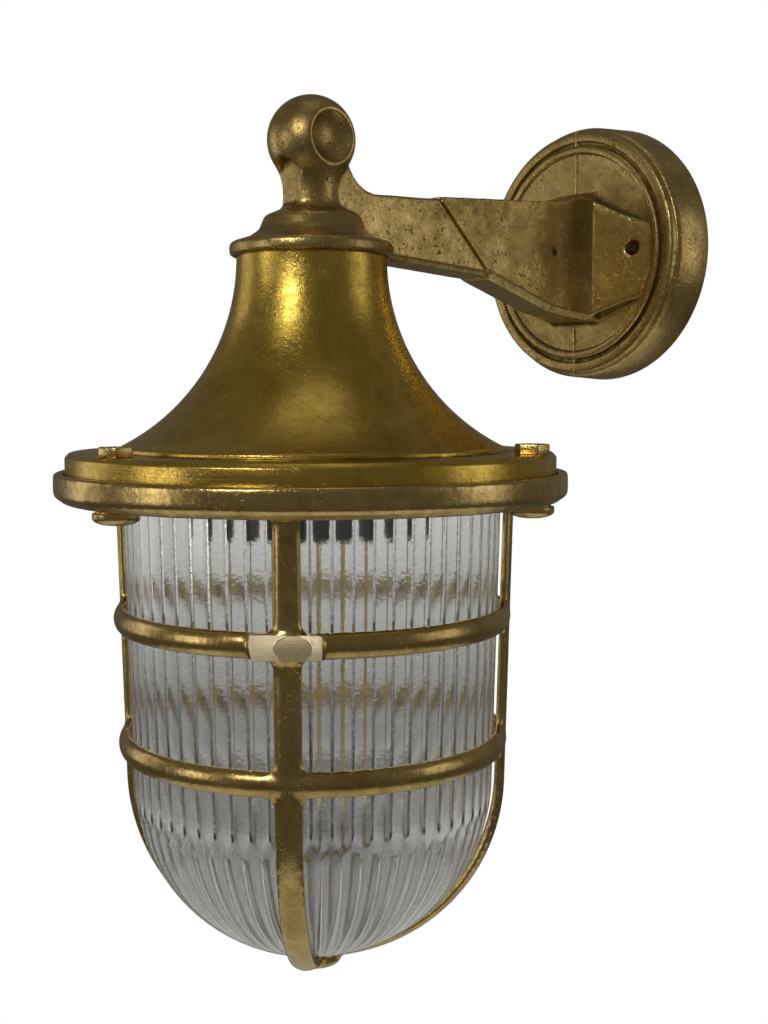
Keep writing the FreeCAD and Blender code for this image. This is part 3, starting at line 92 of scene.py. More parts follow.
# Glass and ribs: the dome's centre below the ring's underside, the ribs' inside radius
# there, and the wall's taper in degrees.
DOME_DROP = 95.0
DOME_RADIUS = 61.4
DRAFT = 1.45
# Top of the hood's flange above the ring's underside.
FLANGE_TOP = 14.8
BOLTS = (1, 2, 3)
# Size of a casting's grain in millimetres, and how often its skin is smoothed.
CAGE_GRAIN, CAGE_STROKES = 0.95, 3
CAP_GRAIN, CAP_STROKES = 0.55, 5
ROOT_GRAIN, ROOT_STROKES = 0.6, 3
# Thickness of the wall plate behind its field.
PLATE_WALL = 4.2
OUT_FROM_WALL = (0, -1, 0)
UP = (0, 0, 1)


def directions(azimuth):
    """Unit vectors out from the axis and across it."""
    turn = math.radians(azimuth)
    return (Vector((math.sin(turn), -math.cos(turn), 0)),
            Vector((math.cos(turn), math.sin(turn), 0)))


# ---------------------------------------------------------------- hands and tools

def clear_hands():
    """Nothing is selected and nothing is being edited."""
    if bpy.context.object and bpy.context.object.mode != "OBJECT":
        bpy.ops.object.mode_set(mode="OBJECT")
    bpy.ops.object.select_all(action="DESELECT")


def take(*pieces):
    """Select these pieces, the first of them active."""
    clear_hands()
    for piece in pieces:
        piece.select_set(True)
    bpy.context.view_layer.objects.active = pieces[0]
    return pieces[0]


def edit(piece):
    """Open a piece in edit mode with all of its vertices selected."""
    take(piece)
    bpy.ops.object.mode_set(mode="EDIT")
    bpy.ops.mesh.select_mode(type="VERT")
    bpy.ops.mesh.select_all(action="SELECT")


def finish_edit():
    """Back to object mode."""
    bpy.ops.object.mode_set(mode="OBJECT")


def modify(piece, kind, **settings):
    """Give a piece a modifier and apply it."""
    take(piece)
    modifier = piece.modifiers.new(kind.title(), kind)
    for name, value in settings.items():
        setattr(modifier, name, value)
    bpy.ops.object.modifier_apply(modifier=modifier.name)
    return piece


def seat(piece, name):
    """Name a piece and put its place into its mesh."""
    take(piece)
    bpy.ops.object.transform_apply(location=True, rotation=True, scale=True)
    piece.name = name
    piece.data.name = name
    return piece


def join(name, *pieces):
    joined = take(*pieces)
    if len(pieces) > 1:
        bpy.ops.object.join()
    joined.name = name
    return joined


def cut(piece, tool):
    """Cut a tool's shape out of a piece, and throw the tool away."""
    modify(piece, "BOOLEAN", operation="DIFFERENCE", object=tool, solver="EXACT")
    bpy.data.objects.remove(tool)
    return piece


def smooth(piece, angle=32):
    take(piece)
    bpy.ops.object.shade_smooth_by_angle(angle=math.radians(angle))
    return piece


def deliver(piece, finish, body, slot, *nodes):
    """Paint a piece, put it on its body and hide the frame nodes it stands for; slot is not used."""
    piece.data.materials.clear()
    piece.data.materials.append(finish)
    if nodes:
        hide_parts(*nodes)
    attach(piece, body)
    return piece


def casting(node, name, grain, strokes, *extras, cutter=None):
    """A frame node as it leaves the sand: its edges and corners run together."""
    copy = frame["nodes"][node].copy()
    copy.data = copy.data.copy()
    copy.parent = None
    copy.matrix_world = Matrix.Identity(4)
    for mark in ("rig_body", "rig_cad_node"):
        del copy[mark]
    bpy.context.collection.objects.link(copy)
    edit(copy)
    bpy.ops.mesh.remove_doubles(threshold=0.001 * MM)
    finish_edit()
    if cutter:
        cut(copy, cutter)
    rough = join(name, copy, *extras)
    modify(rough, "REMESH", mode="VOXEL", voxel_size=grain * MM)
    modify(rough, "SMOOTH", factor=0.5, iterations=strokes)
    rough.data.name = name
    take(rough)
    bpy.ops.object.shade_smooth()
    return rough


def arc(centre, radius, start, end, steps):
    """Points (r, z) on an arc, both ends included; angles in degrees from +r."""
    points = []
    for step in range(steps + 1):
        turn = math.radians(start + (end - start) * step / steps)
        points.append((centre[0] + radius * math.cos(turn), centre[1] + radius * math.sin(turn)))
    return points


def turned(name, origin, outline, steps=128, axis=(0, 0, 1), bevel=0.0):
    """Spin a closed outline of (radius, height) points in millimetres round an axis."""
    axis = Vector(axis)
    outward = Vector((1, 0, 0))
    places = [Vector(origin) + (outward * r + axis * h) * MM for r, h in outline]
    places.append(places[0])
    clear_hands()
    bpy.ops.mesh.primitive_plane_add(size=MM, location=places[0])
    piece = seat(bpy.context.object, name)
    edit(piece)
    bpy.ops.mesh.merge(type="CENTER")
    for before, after in zip(places, places[1:]):
        bpy.ops.mesh.extrude_region_move(TRANSFORM_OT_translate={"value": after - before})
    bpy.ops.mesh.select_all(action="SELECT")
    bpy.ops.mesh.spin(steps=steps, angle=math.tau, center=origin, axis=axis)
    bpy.ops.mesh.select_all(action="SELECT")
    bpy.ops.mesh.remove_doubles(threshold=0.002 * MM)
    bpy.ops.mesh.delete_loose()
    bpy.ops.mesh.select_all(action="SELECT")
    bpy.ops.mesh.normals_make_consistent(inside=False)
    finish_edit()
    if bevel:
        modify(piece, "BEVEL", width=bevel * MM, segments=3, limit_method="ANGLE",
               angle_limit=math.radians(28), harden_normals=False)
    return smooth(piece)


def rod(name, radius, start, end, vertices=48):
    """A round bar from one place to another, its radius in millimetres."""
    start, end = Vector(start), Vector(end)
    clear_hands()
    bpy.ops.mesh.primitive_cylinder_add(vertices=vertices, radius=radius * MM,
                                        depth=(end - start).length, location=(start + end) / 2)
    piece = bpy.context.object
    piece.rotation_mode = "QUATERNION"
    piece.rotation_quaternion = (end - start).to_track_quat("Z", "Y")
    return seat(piece, name)


def slab(name, corners, place, across, up, thickness):
    """A flat outline in millimetres, drawn on two directions and extruded."""
    across, up = Vector(across), Vector(up)
    through = across.cross(up)
    bpy.ops.mesh.primitive_circle_add(vertices=len(corners), radius=MM, fill_type="NGON",
                                      location=(0, 0, 0))
    piece = bpy.context.object
    for vertex, (x, y) in zip(piece.data.vertices, corners):
        vertex.co = Vector(place) + (across * x + up * y) * MM
    edit(piece)
    bpy.ops.mesh.extrude_region_move(
        TRANSFORM_OT_translate={"value": through * thickness * MM})
    bpy.ops.mesh.select_all(action="SELECT")
    bpy.ops.mesh.normals_make_consistent(inside=False)
    finish_edit()
    piece.name = name
    return piece


# ---------------------------------------------------------------- finishes

class Wire:
    """A socket's value in a material; arithmetic on it adds Math nodes."""

    def __init__(self, finish, socket):
        self.finish = finish
        self.socket = socket

    def math(self, operation, *values, clamp=False):
        return self.finish.node("Math", {"operation": operation, "use_clamp": clamp},
                                dict(enumerate(values)))

    def __add__(self, other):
        return self.math("ADD", self, other)

    def __sub__(self, other):
        return self.math("SUBTRACT", self, other)

    def __mul__(self, other):
        return self.math("MULTIPLY", self, other)

    def __rsub__(self, other):
        return self.math("SUBTRACT", other, self)

    __radd__ = __add__
    __rmul__ = __mul__

    def over(self, low, high):
        """0 where this is under low, 1 where it is over high."""
        return self.finish.node("MapRange", {"clamp": True},
                                {"Value": self, "From Min": low, "From Max": high})

    def lit(self):
        """This value kept between 0 and 1."""
        return self.math("ADD", self, 0.0, clamp=True)


class Finish:
    """A material made of nodes that read the piece's own coordinates."""

    def __init__(self, name):
        self.material = bpy.data.materials.new(name)
        self.material.use_nodes = True
        self.tree = self.material.node_tree
        self.tree.nodes.clear()
        self.place = self.node("TexCoord", output="Object")

    def node(self, kind, settings=None, sockets=None, output=0):
        made = self.tree.nodes.new("ShaderNode" + kind)
        for name, value in (settings or {}).items():
            setattr(made, name, value)
        for name, value in (sockets or {}).items():
            if isinstance(value, Wire):
                self.tree.links.new(value.socket, made.inputs[name])
            else:
                made.inputs[name].default_value = value
        return Wire(self, made.outputs[output])

    def stretched(self, x, y, z):
        """The piece's coordinates, scaled along each axis."""
        return self.node("Mapping", {}, {"Vector": self.place, "Scale": (x, y, z)})

    def noise(self, size, detail=3.0, roughness=0.55, vector=None, warp=0.0):
        """Noise with features about this many millimetres across."""
        return self.node("TexNoise", {}, {
            "Vector": vector or self.place, "Scale": 1 / (size * MM) if vector is None else size,
            "Detail": detail, "Roughness": roughness, "Distortion": warp})

    def mix(self, factor, first, second):
        """One colour over another."""
        made = self.tree.nodes.new("ShaderNodeMix")
        made.data_type = "RGBA"
        for index, value in ((0, factor), (6, first), (7, second)):
            if isinstance(value, Wire):
                self.tree.links.new(value.socket, made.inputs[index])
            elif index == 0:
                made.inputs[index].default_value = value
            else:
                made.inputs[index].default_value = (*value, 1)
        return Wire(self, made.outputs[2])

    def bump(self, height, depth, under=None):
        """A height from 0 to 1 made this many millimetres deep."""
        sockets = {"Height": height, "Distance": depth * MM, "Strength": 1.0}
        if under:
            sockets["Normal"] = under
        return self.node("Bump", {}, sockets)

    def surface(self, **sockets):
        """The surface shader, its sockets named with _ for a space."""
        wanted = {name.replace("_", " "): value for name, value in sockets.items()}
        for name, value in wanted.items():
            if name == "Base Color" and not isinstance(value, Wire):
                wanted[name] = (*value, 1)
        shader = self.node("BsdfPrincipled", {}, wanted, "BSDF")
        output = self.tree.nodes.new("ShaderNodeOutputMaterial")
        self.tree.links.new(shader.socket, output.inputs["Surface"])
        return self.material


def brass(name, bright, dark, polish, pitting, tarnish, relief=0.2, streaks=0.0, zone=None,
          ground=None):
    """Brass: polished or as cast, pitted, tarnished, with grime and painted shade darkening the
    hollows, and wear with a painted highlight lightening the edges.

    polish is the roughness of the clean metal, and relief the depth of its texture in
    millimetres. streaks are marks left by turning or
    brushing round the upright axis, between the two heights of zone. ground is a
    flat filed clean and paler, made paler still as a painted sheen, with a dished patch
    darkened as painted shade: its way out, its way across, its centre, half its width and height.
    """
    finish = Finish(name)
    cloud = finish.noise(26, 4, 0.6, warp=0.6)
    blotch = finish.noise(5.5, 5, 0.65, warp=0.4)
    grain = finish.noise(0.9, 4, 0.7)
    fine = finish.noise(0.32, 2, 0.6)
    pits = finish.noise(1.3, 2, 0.5, warp=0.8).over(0.62, 0.71)
    specks = finish.noise(0.62, 2, 0.5).over(0.65, 0.74)
    patches = finish.noise(9, 3, 0.6).over(0.40, 0.64)
    pitted = ((pits + specks) * patches * pitting).lit()
    point = finish.node("NewGeometry", output="Pointiness")
    # Pointiness under its middle marks the hollows; darkening them is partly grime and tarnish,
    # partly painted shade.
    hollow_grime_and_shade = (0.5 - point).over(0.004, 0.045)
    # Pointiness over its middle marks the convex edges: rubbed wear, and a painted highlight along
    # them.
    wear_and_edge_highlight = (point - 0.5).over(0.006, 0.05)
    # The hollows pull the tone towards the tarnish colour here: partly tarnish, partly painted
    # shade.
    shade = (cloud - 0.5) * 1.7 + (blotch - 0.5) * 1.5 + 0.5 * tarnish + hollow_grime_and_shade * 0.9
    shade = shade.over(-0.15, 0.95)
    colour = finish.mix(shade, bright, dark)
    pits_grime_and_crevice_shade = (pitted * 0.75 + hollow_grime_and_shade * blotch.over(0.30, 0.62) * 0.85).lit()
    # Pits and hollows darken towards near black: pits and grime, with painted shade in the hollows.
    colour = finish.mix(pits_grime_and_crevice_shade, colour, [value * 0.22 for value in dark])
    # Convex edges lightened towards pale brass: wear, and a painted highlight.
    colour = finish.mix((wear_and_edge_highlight * 0.35).lit(), colour, [min(value * 1.25, 1.0) for value in bright])
    rough = (polish + (blotch - 0.5) * 0.30 + (grain - 0.5) * 0.24 + shade * 0.18 * tarnish
             + pits_grime_and_crevice_shade * 0.25 - wear_and_edge_highlight * 0.10)
    height = (grain * 0.4 + fine * 0.15 + blotch * 0.8 - pitted * 0.9)
    normal = finish.bump(height, relief)
    metal = 1.0
    if streaks:
        lines = finish.noise(1.0, 3, 0.6, vector=finish.stretched(14, 14, 2600))
        level = finish.node("SeparateXYZ", {}, {"Vector": finish.place}, "Z")
        marked = (lines - 0.5) * level.over(zone[1] + 0.4 * MM, zone[1]) * streaks
        rough = rough + marked * 0.5
        normal = finish.bump(marked, 0.035, normal)
    if ground:
        facing, across, centre, wide, tall = ground
        offset = finish.node("VectorMath", {"operation": "SUBTRACT"}, {0: finish.place, 1: centre})
        u, v, depth = (
            finish.node("VectorMath", {"operation": "DOT_PRODUCT"}, {0: offset, 1: way}, "Value")
            for way in (across, UP, facing))
        flat = depth.over(-0.12 * MM, -0.06 * MM)
        for reach, edge in ((u, wide), (v, tall)):
            flat = flat * reach.over(-edge - 0.1 * MM, -edge) * reach.over(edge + 0.1 * MM, edge)
        lines = finish.noise(1.0, 4, 0.7, vector=finish.stretched(60, 60, 1900))
        ragged = finish.noise(2.5, 2, 0.5) * 2.2 * MM
        left = (u + ragged - 3.0 * MM) * (0.18 / MM)
        low = (v - ragged * 0.6 + 0.9 * MM) * (0.24 / MM)
        # A dished patch on the flat: it tilts the normal less, and its darker colour is painted
        # shade.
        dished_patch_and_shade = (1.0 - left * left - low * low).over(0.0, 0.12)
        tone = (lines * 0.9 + dished_patch_and_shade * 0.55 - 0.25).lit()
        # The filed flat's pale brass, made paler still as a painted sheen; brush lines and the
        # dished patch's painted shade darken it.
        colour = finish.mix(flat, colour, finish.mix(tone, (1.0, 0.90, 0.64), (0.66, 0.52, 0.26)))
        rough = rough * (1.0 - flat) + (0.40 + lines * 0.12) * flat
        tilt = (u * 0.16 - v * 0.24) * (1.0 - dished_patch_and_shade * 0.7)
        normal = finish.bump(tilt * flat * 1000, 1.0, normal)
        normal = finish.bump(lines * flat, 0.06, normal)
        metal = 1.0 - flat * 0.3
    return finish.surface(Base_Color=colour, Metallic=metal, Roughness=rough.over(0.0, 1.0),
                          Normal=normal)


def clear_glass():
    """Pressed glass with a faint pebbled skin."""
    finish = Finish("reeded_glass")
    pebble = finish.noise(1.3, 3, 0.6)
    seed = finish.noise(8, 2, 0.5)
    normal = finish.bump(pebble + seed * 0.3, 0.07)
    return finish.surface(Base_Color=(0.97, 0.98, 0.98), Roughness=0.03, IOR=1.5,
                          Transmission_Weight=1.0, Normal=normal)


def moulded(name, colour, roughness, texture=0.4):
    """Rubber, phenolic or plastic with a faint moulded texture."""
    finish = Finish(name)
    blotch = finish.noise(4, 4, 0.6)
    grain = finish.noise(0.5, 2, 0.6)
    tint = finish.mix(blotch.over(0.3, 0.7), colour, [min(1, v * 1.35 + 0.004) for v in colour])
    rough = roughness + (blotch - 0.5) * 0.25
    return finish.surface(Base_Color=tint, Roughness=rough.over(0.0, 1.0),
                          Normal=finish.bump(grain, 0.03 * texture))


def plated(name, colour, roughness):
    """Zinc or nickel plate with faint drawing marks."""
    finish = Finish(name)
    blotch = finish.noise(3, 4, 0.6)
    grain = finish.noise(0.4, 3, 0.6)
    tint = finish.mix(blotch.over(0.3, 0.75), colour, [v * 0.72 for v in colour])
    rough = roughness + (blotch - 0.5) * 0.3 + (grain - 0.5) * 0.15
    return finish.surface(Base_Color=tint, Metallic=1.0, Roughness=rough.over(0.0, 1.0),
                          Normal=finish.bump(grain, 0.02))


def colour_property(name, description, default):
    return FloatVectorProperty(name=name, description=description, default=default,
                               subtype="COLOR", size=3, min=0, max=1)


def length_property(name, description, default):
    """A length in millimetres."""
    return FloatProperty(name=name, description=description, default=default, min=0)


class LanternFinishes(bpy.types.PropertyGroup):
    """Colours of the metals, the glass and the stage."""

    hood_bright: colour_property("Hood, bright", "Polished brass of the hood", (0.75, 0.535, 0.115))
    hood_dark: colour_property("Hood, dark", "Tarnish on the hood", (0.34, 0.215, 0.022))
    cast_bright: colour_property("Castings, bright", "Clean cast brass", (0.72, 0.535, 0.215))
    cast_dark: colour_property("Castings, dark", "Tarnish on the castings", (0.235, 0.158, 0.040))
    floor_colour: colour_property("Floor", "Pale floor", (0.86, 0.86, 0.85))


finishes = {}


class LANTERN_OT_finishes(bpy.types.Operator):
    """Mix the brasses, the glass and the plastics"""

    bl_idname = "lantern.finishes"
    bl_label = "Mix Finishes"

    def execute(self, context):
        colours = context.scene.lantern_finishes
        cast = (colours.cast_bright, colours.cast_dark)
        hood = (colours.hood_bright, colours.hood_dark)
        flange_top = RING.z + FLANGE_TOP * MM
        finishes["hood"] = brass("hood_brass", *hood, 0.23, 0.35, 0.35, 0.15, 1.0,
                                 (HOOD_LOW.z, flange_top - 1.0 * MM))
        cage = context.scene.lantern_cage
        facing, across = directions(FLAT_AZIMUTH)
        middle = RING.z - cage.hoop_one * MM
        centre = RING + facing * cage.pad_out * MM
        ground = (facing, across, (centre.x, centre.y, middle),
                  (cage.pad_width / 2 + 0.1) * MM, (cage.pad_height / 2 + 0.1) * MM)
        finishes["cage"] = brass("cage_brass", *cast, 0.20, 0.45, 0.42, 0.13, ground=ground)
        finishes["arm"] = brass("arm_brass", *cast, 0.25, 1.1, 0.66)
        finishes["fastener"] = brass("fastener_brass", *cast, 0.28, 0.2, 0.15)
        finishes["glass"] = clear_glass()
        finishes["rubber"] = moulded("black_rubber", (0.018, 0.018, 0.018), 0.62)
        finishes["phenolic"] = moulded("black_phenolic", (0.022, 0.020, 0.019), 0.38)
        finishes["block"] = moulded("natural_plastic", (0.74, 0.72, 0.66), 0.42)
        finishes["steel"] = plated("zinc_plate", (0.62, 0.62, 0.60), 0.36)
        finishes["contact"] = plated("nickel_plate", (0.74, 0.68, 0.55), 0.30)
        finishes["brown"] = moulded("brown_core", (0.10, 0.035, 0.012), 0.45)
        finishes["blue"] = moulded("blue_core", (0.015, 0.06, 0.30), 0.45)
        finishes["green"] = moulded("green_core", (0.05, 0.24, 0.03), 0.45)
        return {"FINISHED"}


NODE_FINISHES = {
    "glass_seal_lower": "rubber", "glass_seal_upper": "rubber", "cap_seal": "rubber",
    "wall_gasket": "rubber", "duct_grommet": "rubber",
    "nipple": "fastener", "nipple_washer": "steel", "nipple_locknut": "steel",
    "lampholder_body": "phenolic", "lampholder_shell": "contact",
    "lampholder_contact": "contact", "lampholder_terminal_left": "contact",
    "lampholder_terminal_right": "contact", "terminal_block": "block",
    "terminal_insert_1": "contact", "terminal_insert_2": "contact",
    "terminal_insert_3": "contact", "terminal_screws": "steel",
    "block_fixing_screw": "steel", "earth_tag": "contact", "earth_screw": "fastener",
    "lead_live": "brown", "lead_neutral": "blue", "lead_earth": "green",
}


class LANTERN_OT_small_parts(bpy.types.Operator):
    """Finish the seals, the lampholder, the wiring and their small fixings"""

    bl_idname = "lantern.small_parts"
    bl_label = "Finish Small Parts"

    def execute(self, context):
        for node, finish in NODE_FINISHES.items():
            piece = frame["nodes"][node]
            piece.data.materials.clear()
            piece.data.materials.append(finishes[finish])
        return {"FINISHED"}


# ---------------------------------------------------------------- castings

class LanternCage(bpy.types.PropertyGroup):
    """Sizes of the cage's corners and its filed flat."""

    web: length_property("Web", "Radius of each window's corners", 3.4)
    pad_width: length_property("Flat, across", "Width of the filed flat", 22.0)
    pad_height: length_property("Flat, height", "Height of the filed flat", 7.9)
    pad_out: length_property("Flat, out", "Axis to the filed flat's face", 67.2)
    hoop_one: length_property("Upper hoop", "Ring's underside down to the hoop's middle", 39.8)
    hoop_two: length_property("Lower hoop", "Ring's underside down to the hoop's middle", 81.6)


def rib_inside(height):
    """Inside radius of the ribs at a height above the dome's centre, in millimetres."""
    return DOME_RADIUS + max(0.0, height) * math.tan(math.radians(DRAFT))


def corner_web(azimuth, drop, side, rise, radius):
    """A concave web in one corner of a window, where a rib meets a hoop or the ring."""
    out, across = directions(azimuth)
    rib_half_width, thickness, steps = 3.9, 2.2, 6
    inside = rib_inside(DOME_DROP - drop)
    corners = [(0, 0)]
    for step in range(steps + 1):
        angle = math.radians(90 * step / steps)
        corners.append((radius * (1 - math.sin(angle)), radius * (1 - math.cos(angle))))
    base = math.asin(rib_half_width / inside)
    middle = out * math.cos(base) + across * side * math.sin(base)
    aside = (across - out * side * math.tan(base)).normalized()
    place = RING + middle * (inside + 0.3) * MM + Vector((0, 0, -drop * MM))
    return slab("web", [(side * x, rise * y) for x, y in corners], place, aside, UP, thickness)


class LANTERN_OT_cage(bpy.types.Operator):
    """Cast the cage: ring, ribs, hoops and boss with soft corners and one filed flat"""

    bl_idname = "lantern.cage"
    bl_label = "Cast Cage"

    def execute(self, context):
        sizes = context.scene.lantern_cage
        webs = []
        under_ring, hoop_half = 1.0, 3.7
        edges = ((under_ring, -1),
                 (sizes.hoop_one - hoop_half, 1), (sizes.hoop_one + hoop_half, -1),
                 (sizes.hoop_two - hoop_half, 1), (sizes.hoop_two + hoop_half, -1))
        for azimuth in RIB_AZIMUTHS:
            for drop, rise in edges:
                for side in (-1, 1):
                    webs.append(corner_web(azimuth, drop, side, rise, sizes.web))
        cage = casting("cage", "cage_casting", CAGE_GRAIN, CAGE_STROKES, *webs)
        facing, across = directions(FLAT_AZIMUTH)
        wide, tall, cut_back = sizes.pad_width / 2, sizes.pad_height / 2, 0.9
        outline = [(-wide + cut_back, -tall), (wide - 0.4, -tall + 0.2), (wide, tall - cut_back),
                   (wide - cut_back, tall), (-wide + 0.3, tall - 0.1), (-wide, 0.4)]
        face = RING + facing * sizes.pad_out * MM + Vector((0, 0, -sizes.hoop_one * MM))
        flat = slab("ground_flat", outline, face, across, UP, -2.5)
        modify(flat, "BEVEL", width=0.18 * MM, segments=2, limit_method="ANGLE")
        smooth(flat)
        cage = join("cage_casting", cage, flat)
        deliver(cage, finishes["cage"], "cage", "cage_brass", "cage")
        return {"FINISHED"}


class LANTERN_OT_hood(bpy.types.Operator):
    """Turn the bell-shaped hood with its flange"""

    bl_idname = "lantern.hood"
    bl_label = "Turn Hood"

    def execute(self, context):
        top = (HOOD_HIGH.z - RING.z) / MM
        low = (HOOD_LOW.z - RING.z) / MM
        flange = (HOOD_HIGH.x - HOOD_LOW.x) / 2 / MM
        neck, foot, foot_rise, neck_straight = 24.9, 64.2, 1.4, 1.4
        wall, roof, nipple, chamfer, bolt_hole = 3, 4, 5.1, 1.5, 3.3
        recess, recess_top, recess_step = 68.7, 11.0, 8
        level = top - neck_straight
        run, rise = foot - neck, level - FLANGE_TOP - foot_rise
        bend = (run ** 2 + rise ** 2) / (2 * run)
        centre = (neck + bend, level)
        sweep = math.degrees(math.asin(rise / bend))
        inner_sweep = math.degrees(math.asin((level - FLANGE_TOP + 0.5) / (bend + wall)))
        outline = [(recess, low), (flange, low), (flange, FLANGE_TOP - chamfer),
                   (flange - chamfer, FLANGE_TOP), (foot, FLANGE_TOP)]
        outline += arc(centre, bend, 180 + sweep, 180, 48)
        outline += [(neck, top), (nipple, top), (nipple, top - roof), (neck - wall, top - roof)]
        outline += arc(centre, bend + wall, 180, 180 + inner_sweep, 24)
        outline += [(recess - recess_step, recess_top), (recess, recess_top)]
        hood = turned("hood_bell", RING, outline, 256, bevel=0.45)
        for number in BOLTS:
            bolt_low, bolt_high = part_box(f"bolt_{number}")
            middle = (bolt_low + bolt_high) / 2
            cut(hood, rod("bolt_hole", bolt_hole, (middle.x, middle.y, HOOD_LOW.z - 5 * MM),
                          (middle.x, middle.y, RING.z + 20 * MM), 40))
        smooth(hood)
        deliver(hood, finishes["hood"], "lantern", "hood_brass", "hood")
        return {"FINISHED"}


class LanternPlate(bpy.types.PropertyGroup):
    """Sizes of the wall plate's face."""

    radius: length_property("Drum", "Drum at the wall, outside", 49.3)
    band: length_property("Band", "Front band, outside", 47.0)
    depth: length_property("Depth", "Wall to the front band", 19.9)
    shoulder: length_property("Shoulder", "Wall to the drum's front shoulder", 17.0)
    groove_out: length_property("Groove, out", "Groove's outer radius", 42.7)
    groove_in: length_property("Groove, in", "Groove's inner radius", 41.2)
    bead: length_property("Bead", "Width of the raised bead", 3.2)
    hole: length_property("Screw hole", "Radius of each wall screw's hole", 2.7)
    spacing: length_property("Spacing", "Between the two wall screws", 57.8)


def wall_place(x, depth, z):
    """A place this far out from the wall, in millimetres."""
    return Vector((x, -depth, z)) * MM


def plate_cutter(field, bead_in):
    """What is cut off the wall casting: all but the arm and its pads, and two nicks."""
    away = turned("away", (0, 0, 0), [
        (0, -2), (60, -2), (60, 26), (bead_in - 0.3, 26), (bead_in - 0.3, field - 0.5),
        (0, field - 0.5)], 96, OUT_FROM_WALL)
    for x, depth, z, radius in ((9.6, 76.0, -12.8, 2.6), (9.6, 100.5, 13.2, 1.3)):
        nick = rod("nick", radius, wall_place(x - 1.6, depth - 0.6, z),
                   wall_place(x + 3, depth + 0.9, z), 24)
        away = join("away", away, nick)
    return away


def plate_outline(sizes, field, bead_in):
    """The wall plate's section: its back, the gasket's groove, the drum, band and bead."""
    cavity, back = 43.7, field - PLATE_WALL
    gasket_in, gasket_out, gasket_depth = 45.2, 47.8, 1.6
    radius, shoulder, band, depth = sizes.radius, sizes.shoulder, sizes.band, sizes.depth
    groove_out, groove_in = sizes.groove_out, sizes.groove_in
    return [
        (0, back), (cavity - 2, back), (cavity - 0.6, back - 0.6), (cavity, back - 2), (cavity, 0),
        (gasket_in, 0), (gasket_in, gasket_depth), (gasket_out, gasket_depth), (gasket_out, 0),
        (radius - 0.8, 0), (radius, 0.8), (radius - 0.9, shoulder - 1.6),
        (radius - 1.5, shoulder - 0.5), (radius - 2.0, shoulder), (band, shoulder),
        (band, depth - 1.5), (band - 0.5, depth - 0.4), (band - 1.6, depth),
        (groove_out + 0.4, depth), (groove_out, depth - 0.4), (groove_out, depth - 1.3),
        (groove_in, depth - 1.3), (groove_in, depth), (groove_in - 0.5, depth + 0.65),
        (groove_in - 1.1, depth + 0.8), (bead_in + 1.1, depth + 0.8), (bead_in + 0.4, depth + 0.5),
        (bead_in, field), (0, field)]


def bore(plate, name, radius, x, z):
    """Drill right through the plate."""
    cut(plate, rod(name, radius, wall_place(x, 5, z), wall_place(x, 24, z)))


class LANTERN_OT_arm(bpy.types.Operator):
    """Cast the cap with its finial, and the wall plate with its half of the arm"""

    bl_idname = "lantern.arm"
    bl_label = "Cast Arm"

    def execute(self, context):
        blend = [(2, 4), (25, 0), (25, 11.6), (20, 11.9), (16.5, 12.8), (13.5, 14.6), (11.0, 17.2),
                 (9.0, 20.5), (2, 20.5)]
        half_width = 8.4
        stem_side = slab("blend", blend, AXIS - Vector((half_width * MM, 0, 0)), (0, 1, 0), UP,
                         2 * half_width)
        cap = casting("cap_arm", "cap_casting", CAP_GRAIN, CAP_STROKES, stem_side)
        deliver(cap, finishes["arm"], "lantern", "arm_brass", "cap_arm")

        sizes = context.scene.lantern_plate
        field, bead_in = sizes.depth - 0.5, sizes.groove_in - sizes.bead
        root = casting("wall_arm", "wall_casting", ROOT_GRAIN, ROOT_STROKES,
                       cutter=plate_cutter(field, bead_in))
        plate = turned("wall_plate", (0, 0, 0), plate_outline(sizes, field, bead_in), 192,
                       OUT_FROM_WALL, bevel=0.25)
        plate_back = field - PLATE_WALL
        bore(plate, "duct", 5.2, 0, 2.2)
        pieces = [plate]
        for side in (-1, 1):
            x = side * sizes.spacing / 2
            bore(plate, "screw_hole", sizes.hole, x, 0)
            post = [(sizes.hole, 1.5), (5.8, 1.5), (5.8, plate_back + 0.2),
                    (sizes.hole, plate_back + 0.2)]
            pieces.append(turned("post", wall_place(x, 0, 0), post, 48, OUT_FROM_WALL, bevel=0.3))
        for low, high in ((23.0, 47.2), (-47.2, -29.5)):
            pieces.append(rod("seam", 0.48, wall_place(0.2, field + 0.05, low),
                              wall_place(-0.2, field + 0.05, high), 12))
        for x, z, radius in ((15.0, 20.0, 2.0), (-4.5, -27.0, 1.7)):
            cut(plate, rod("blind", radius, wall_place(x, 10, z),
                           wall_place(x, plate_back + 3.5, z), 24))
        wall = join("wall_casting", root, *pieces)
        deliver(wall, finishes["arm"], "lantern", "arm_brass", "wall_arm")
        return {"FINISHED"}


# ---------------------------------------------------------------- fasteners

class LanternBolts(bpy.types.PropertyGroup):
    """Sizes of the bolts, their washers and nuts."""

    head: length_property("Head", "Height of a button head", 3.8)
    edge: length_property("Edge", "Straight part of a head", 1.6)
    shank: length_property("Shank", "Radius over the thread", 3.0)
    pitch: length_property("Pitch", "Between two threads", 1.0)
    socket: length_property("Socket", "Hexagon socket, across its corners, half", 2.31)
    nut: length_property("Nut", "Nut, across its corners, half", 5.77)
    nut_height: length_property("Nut height", "Height of a nut", 3.2)


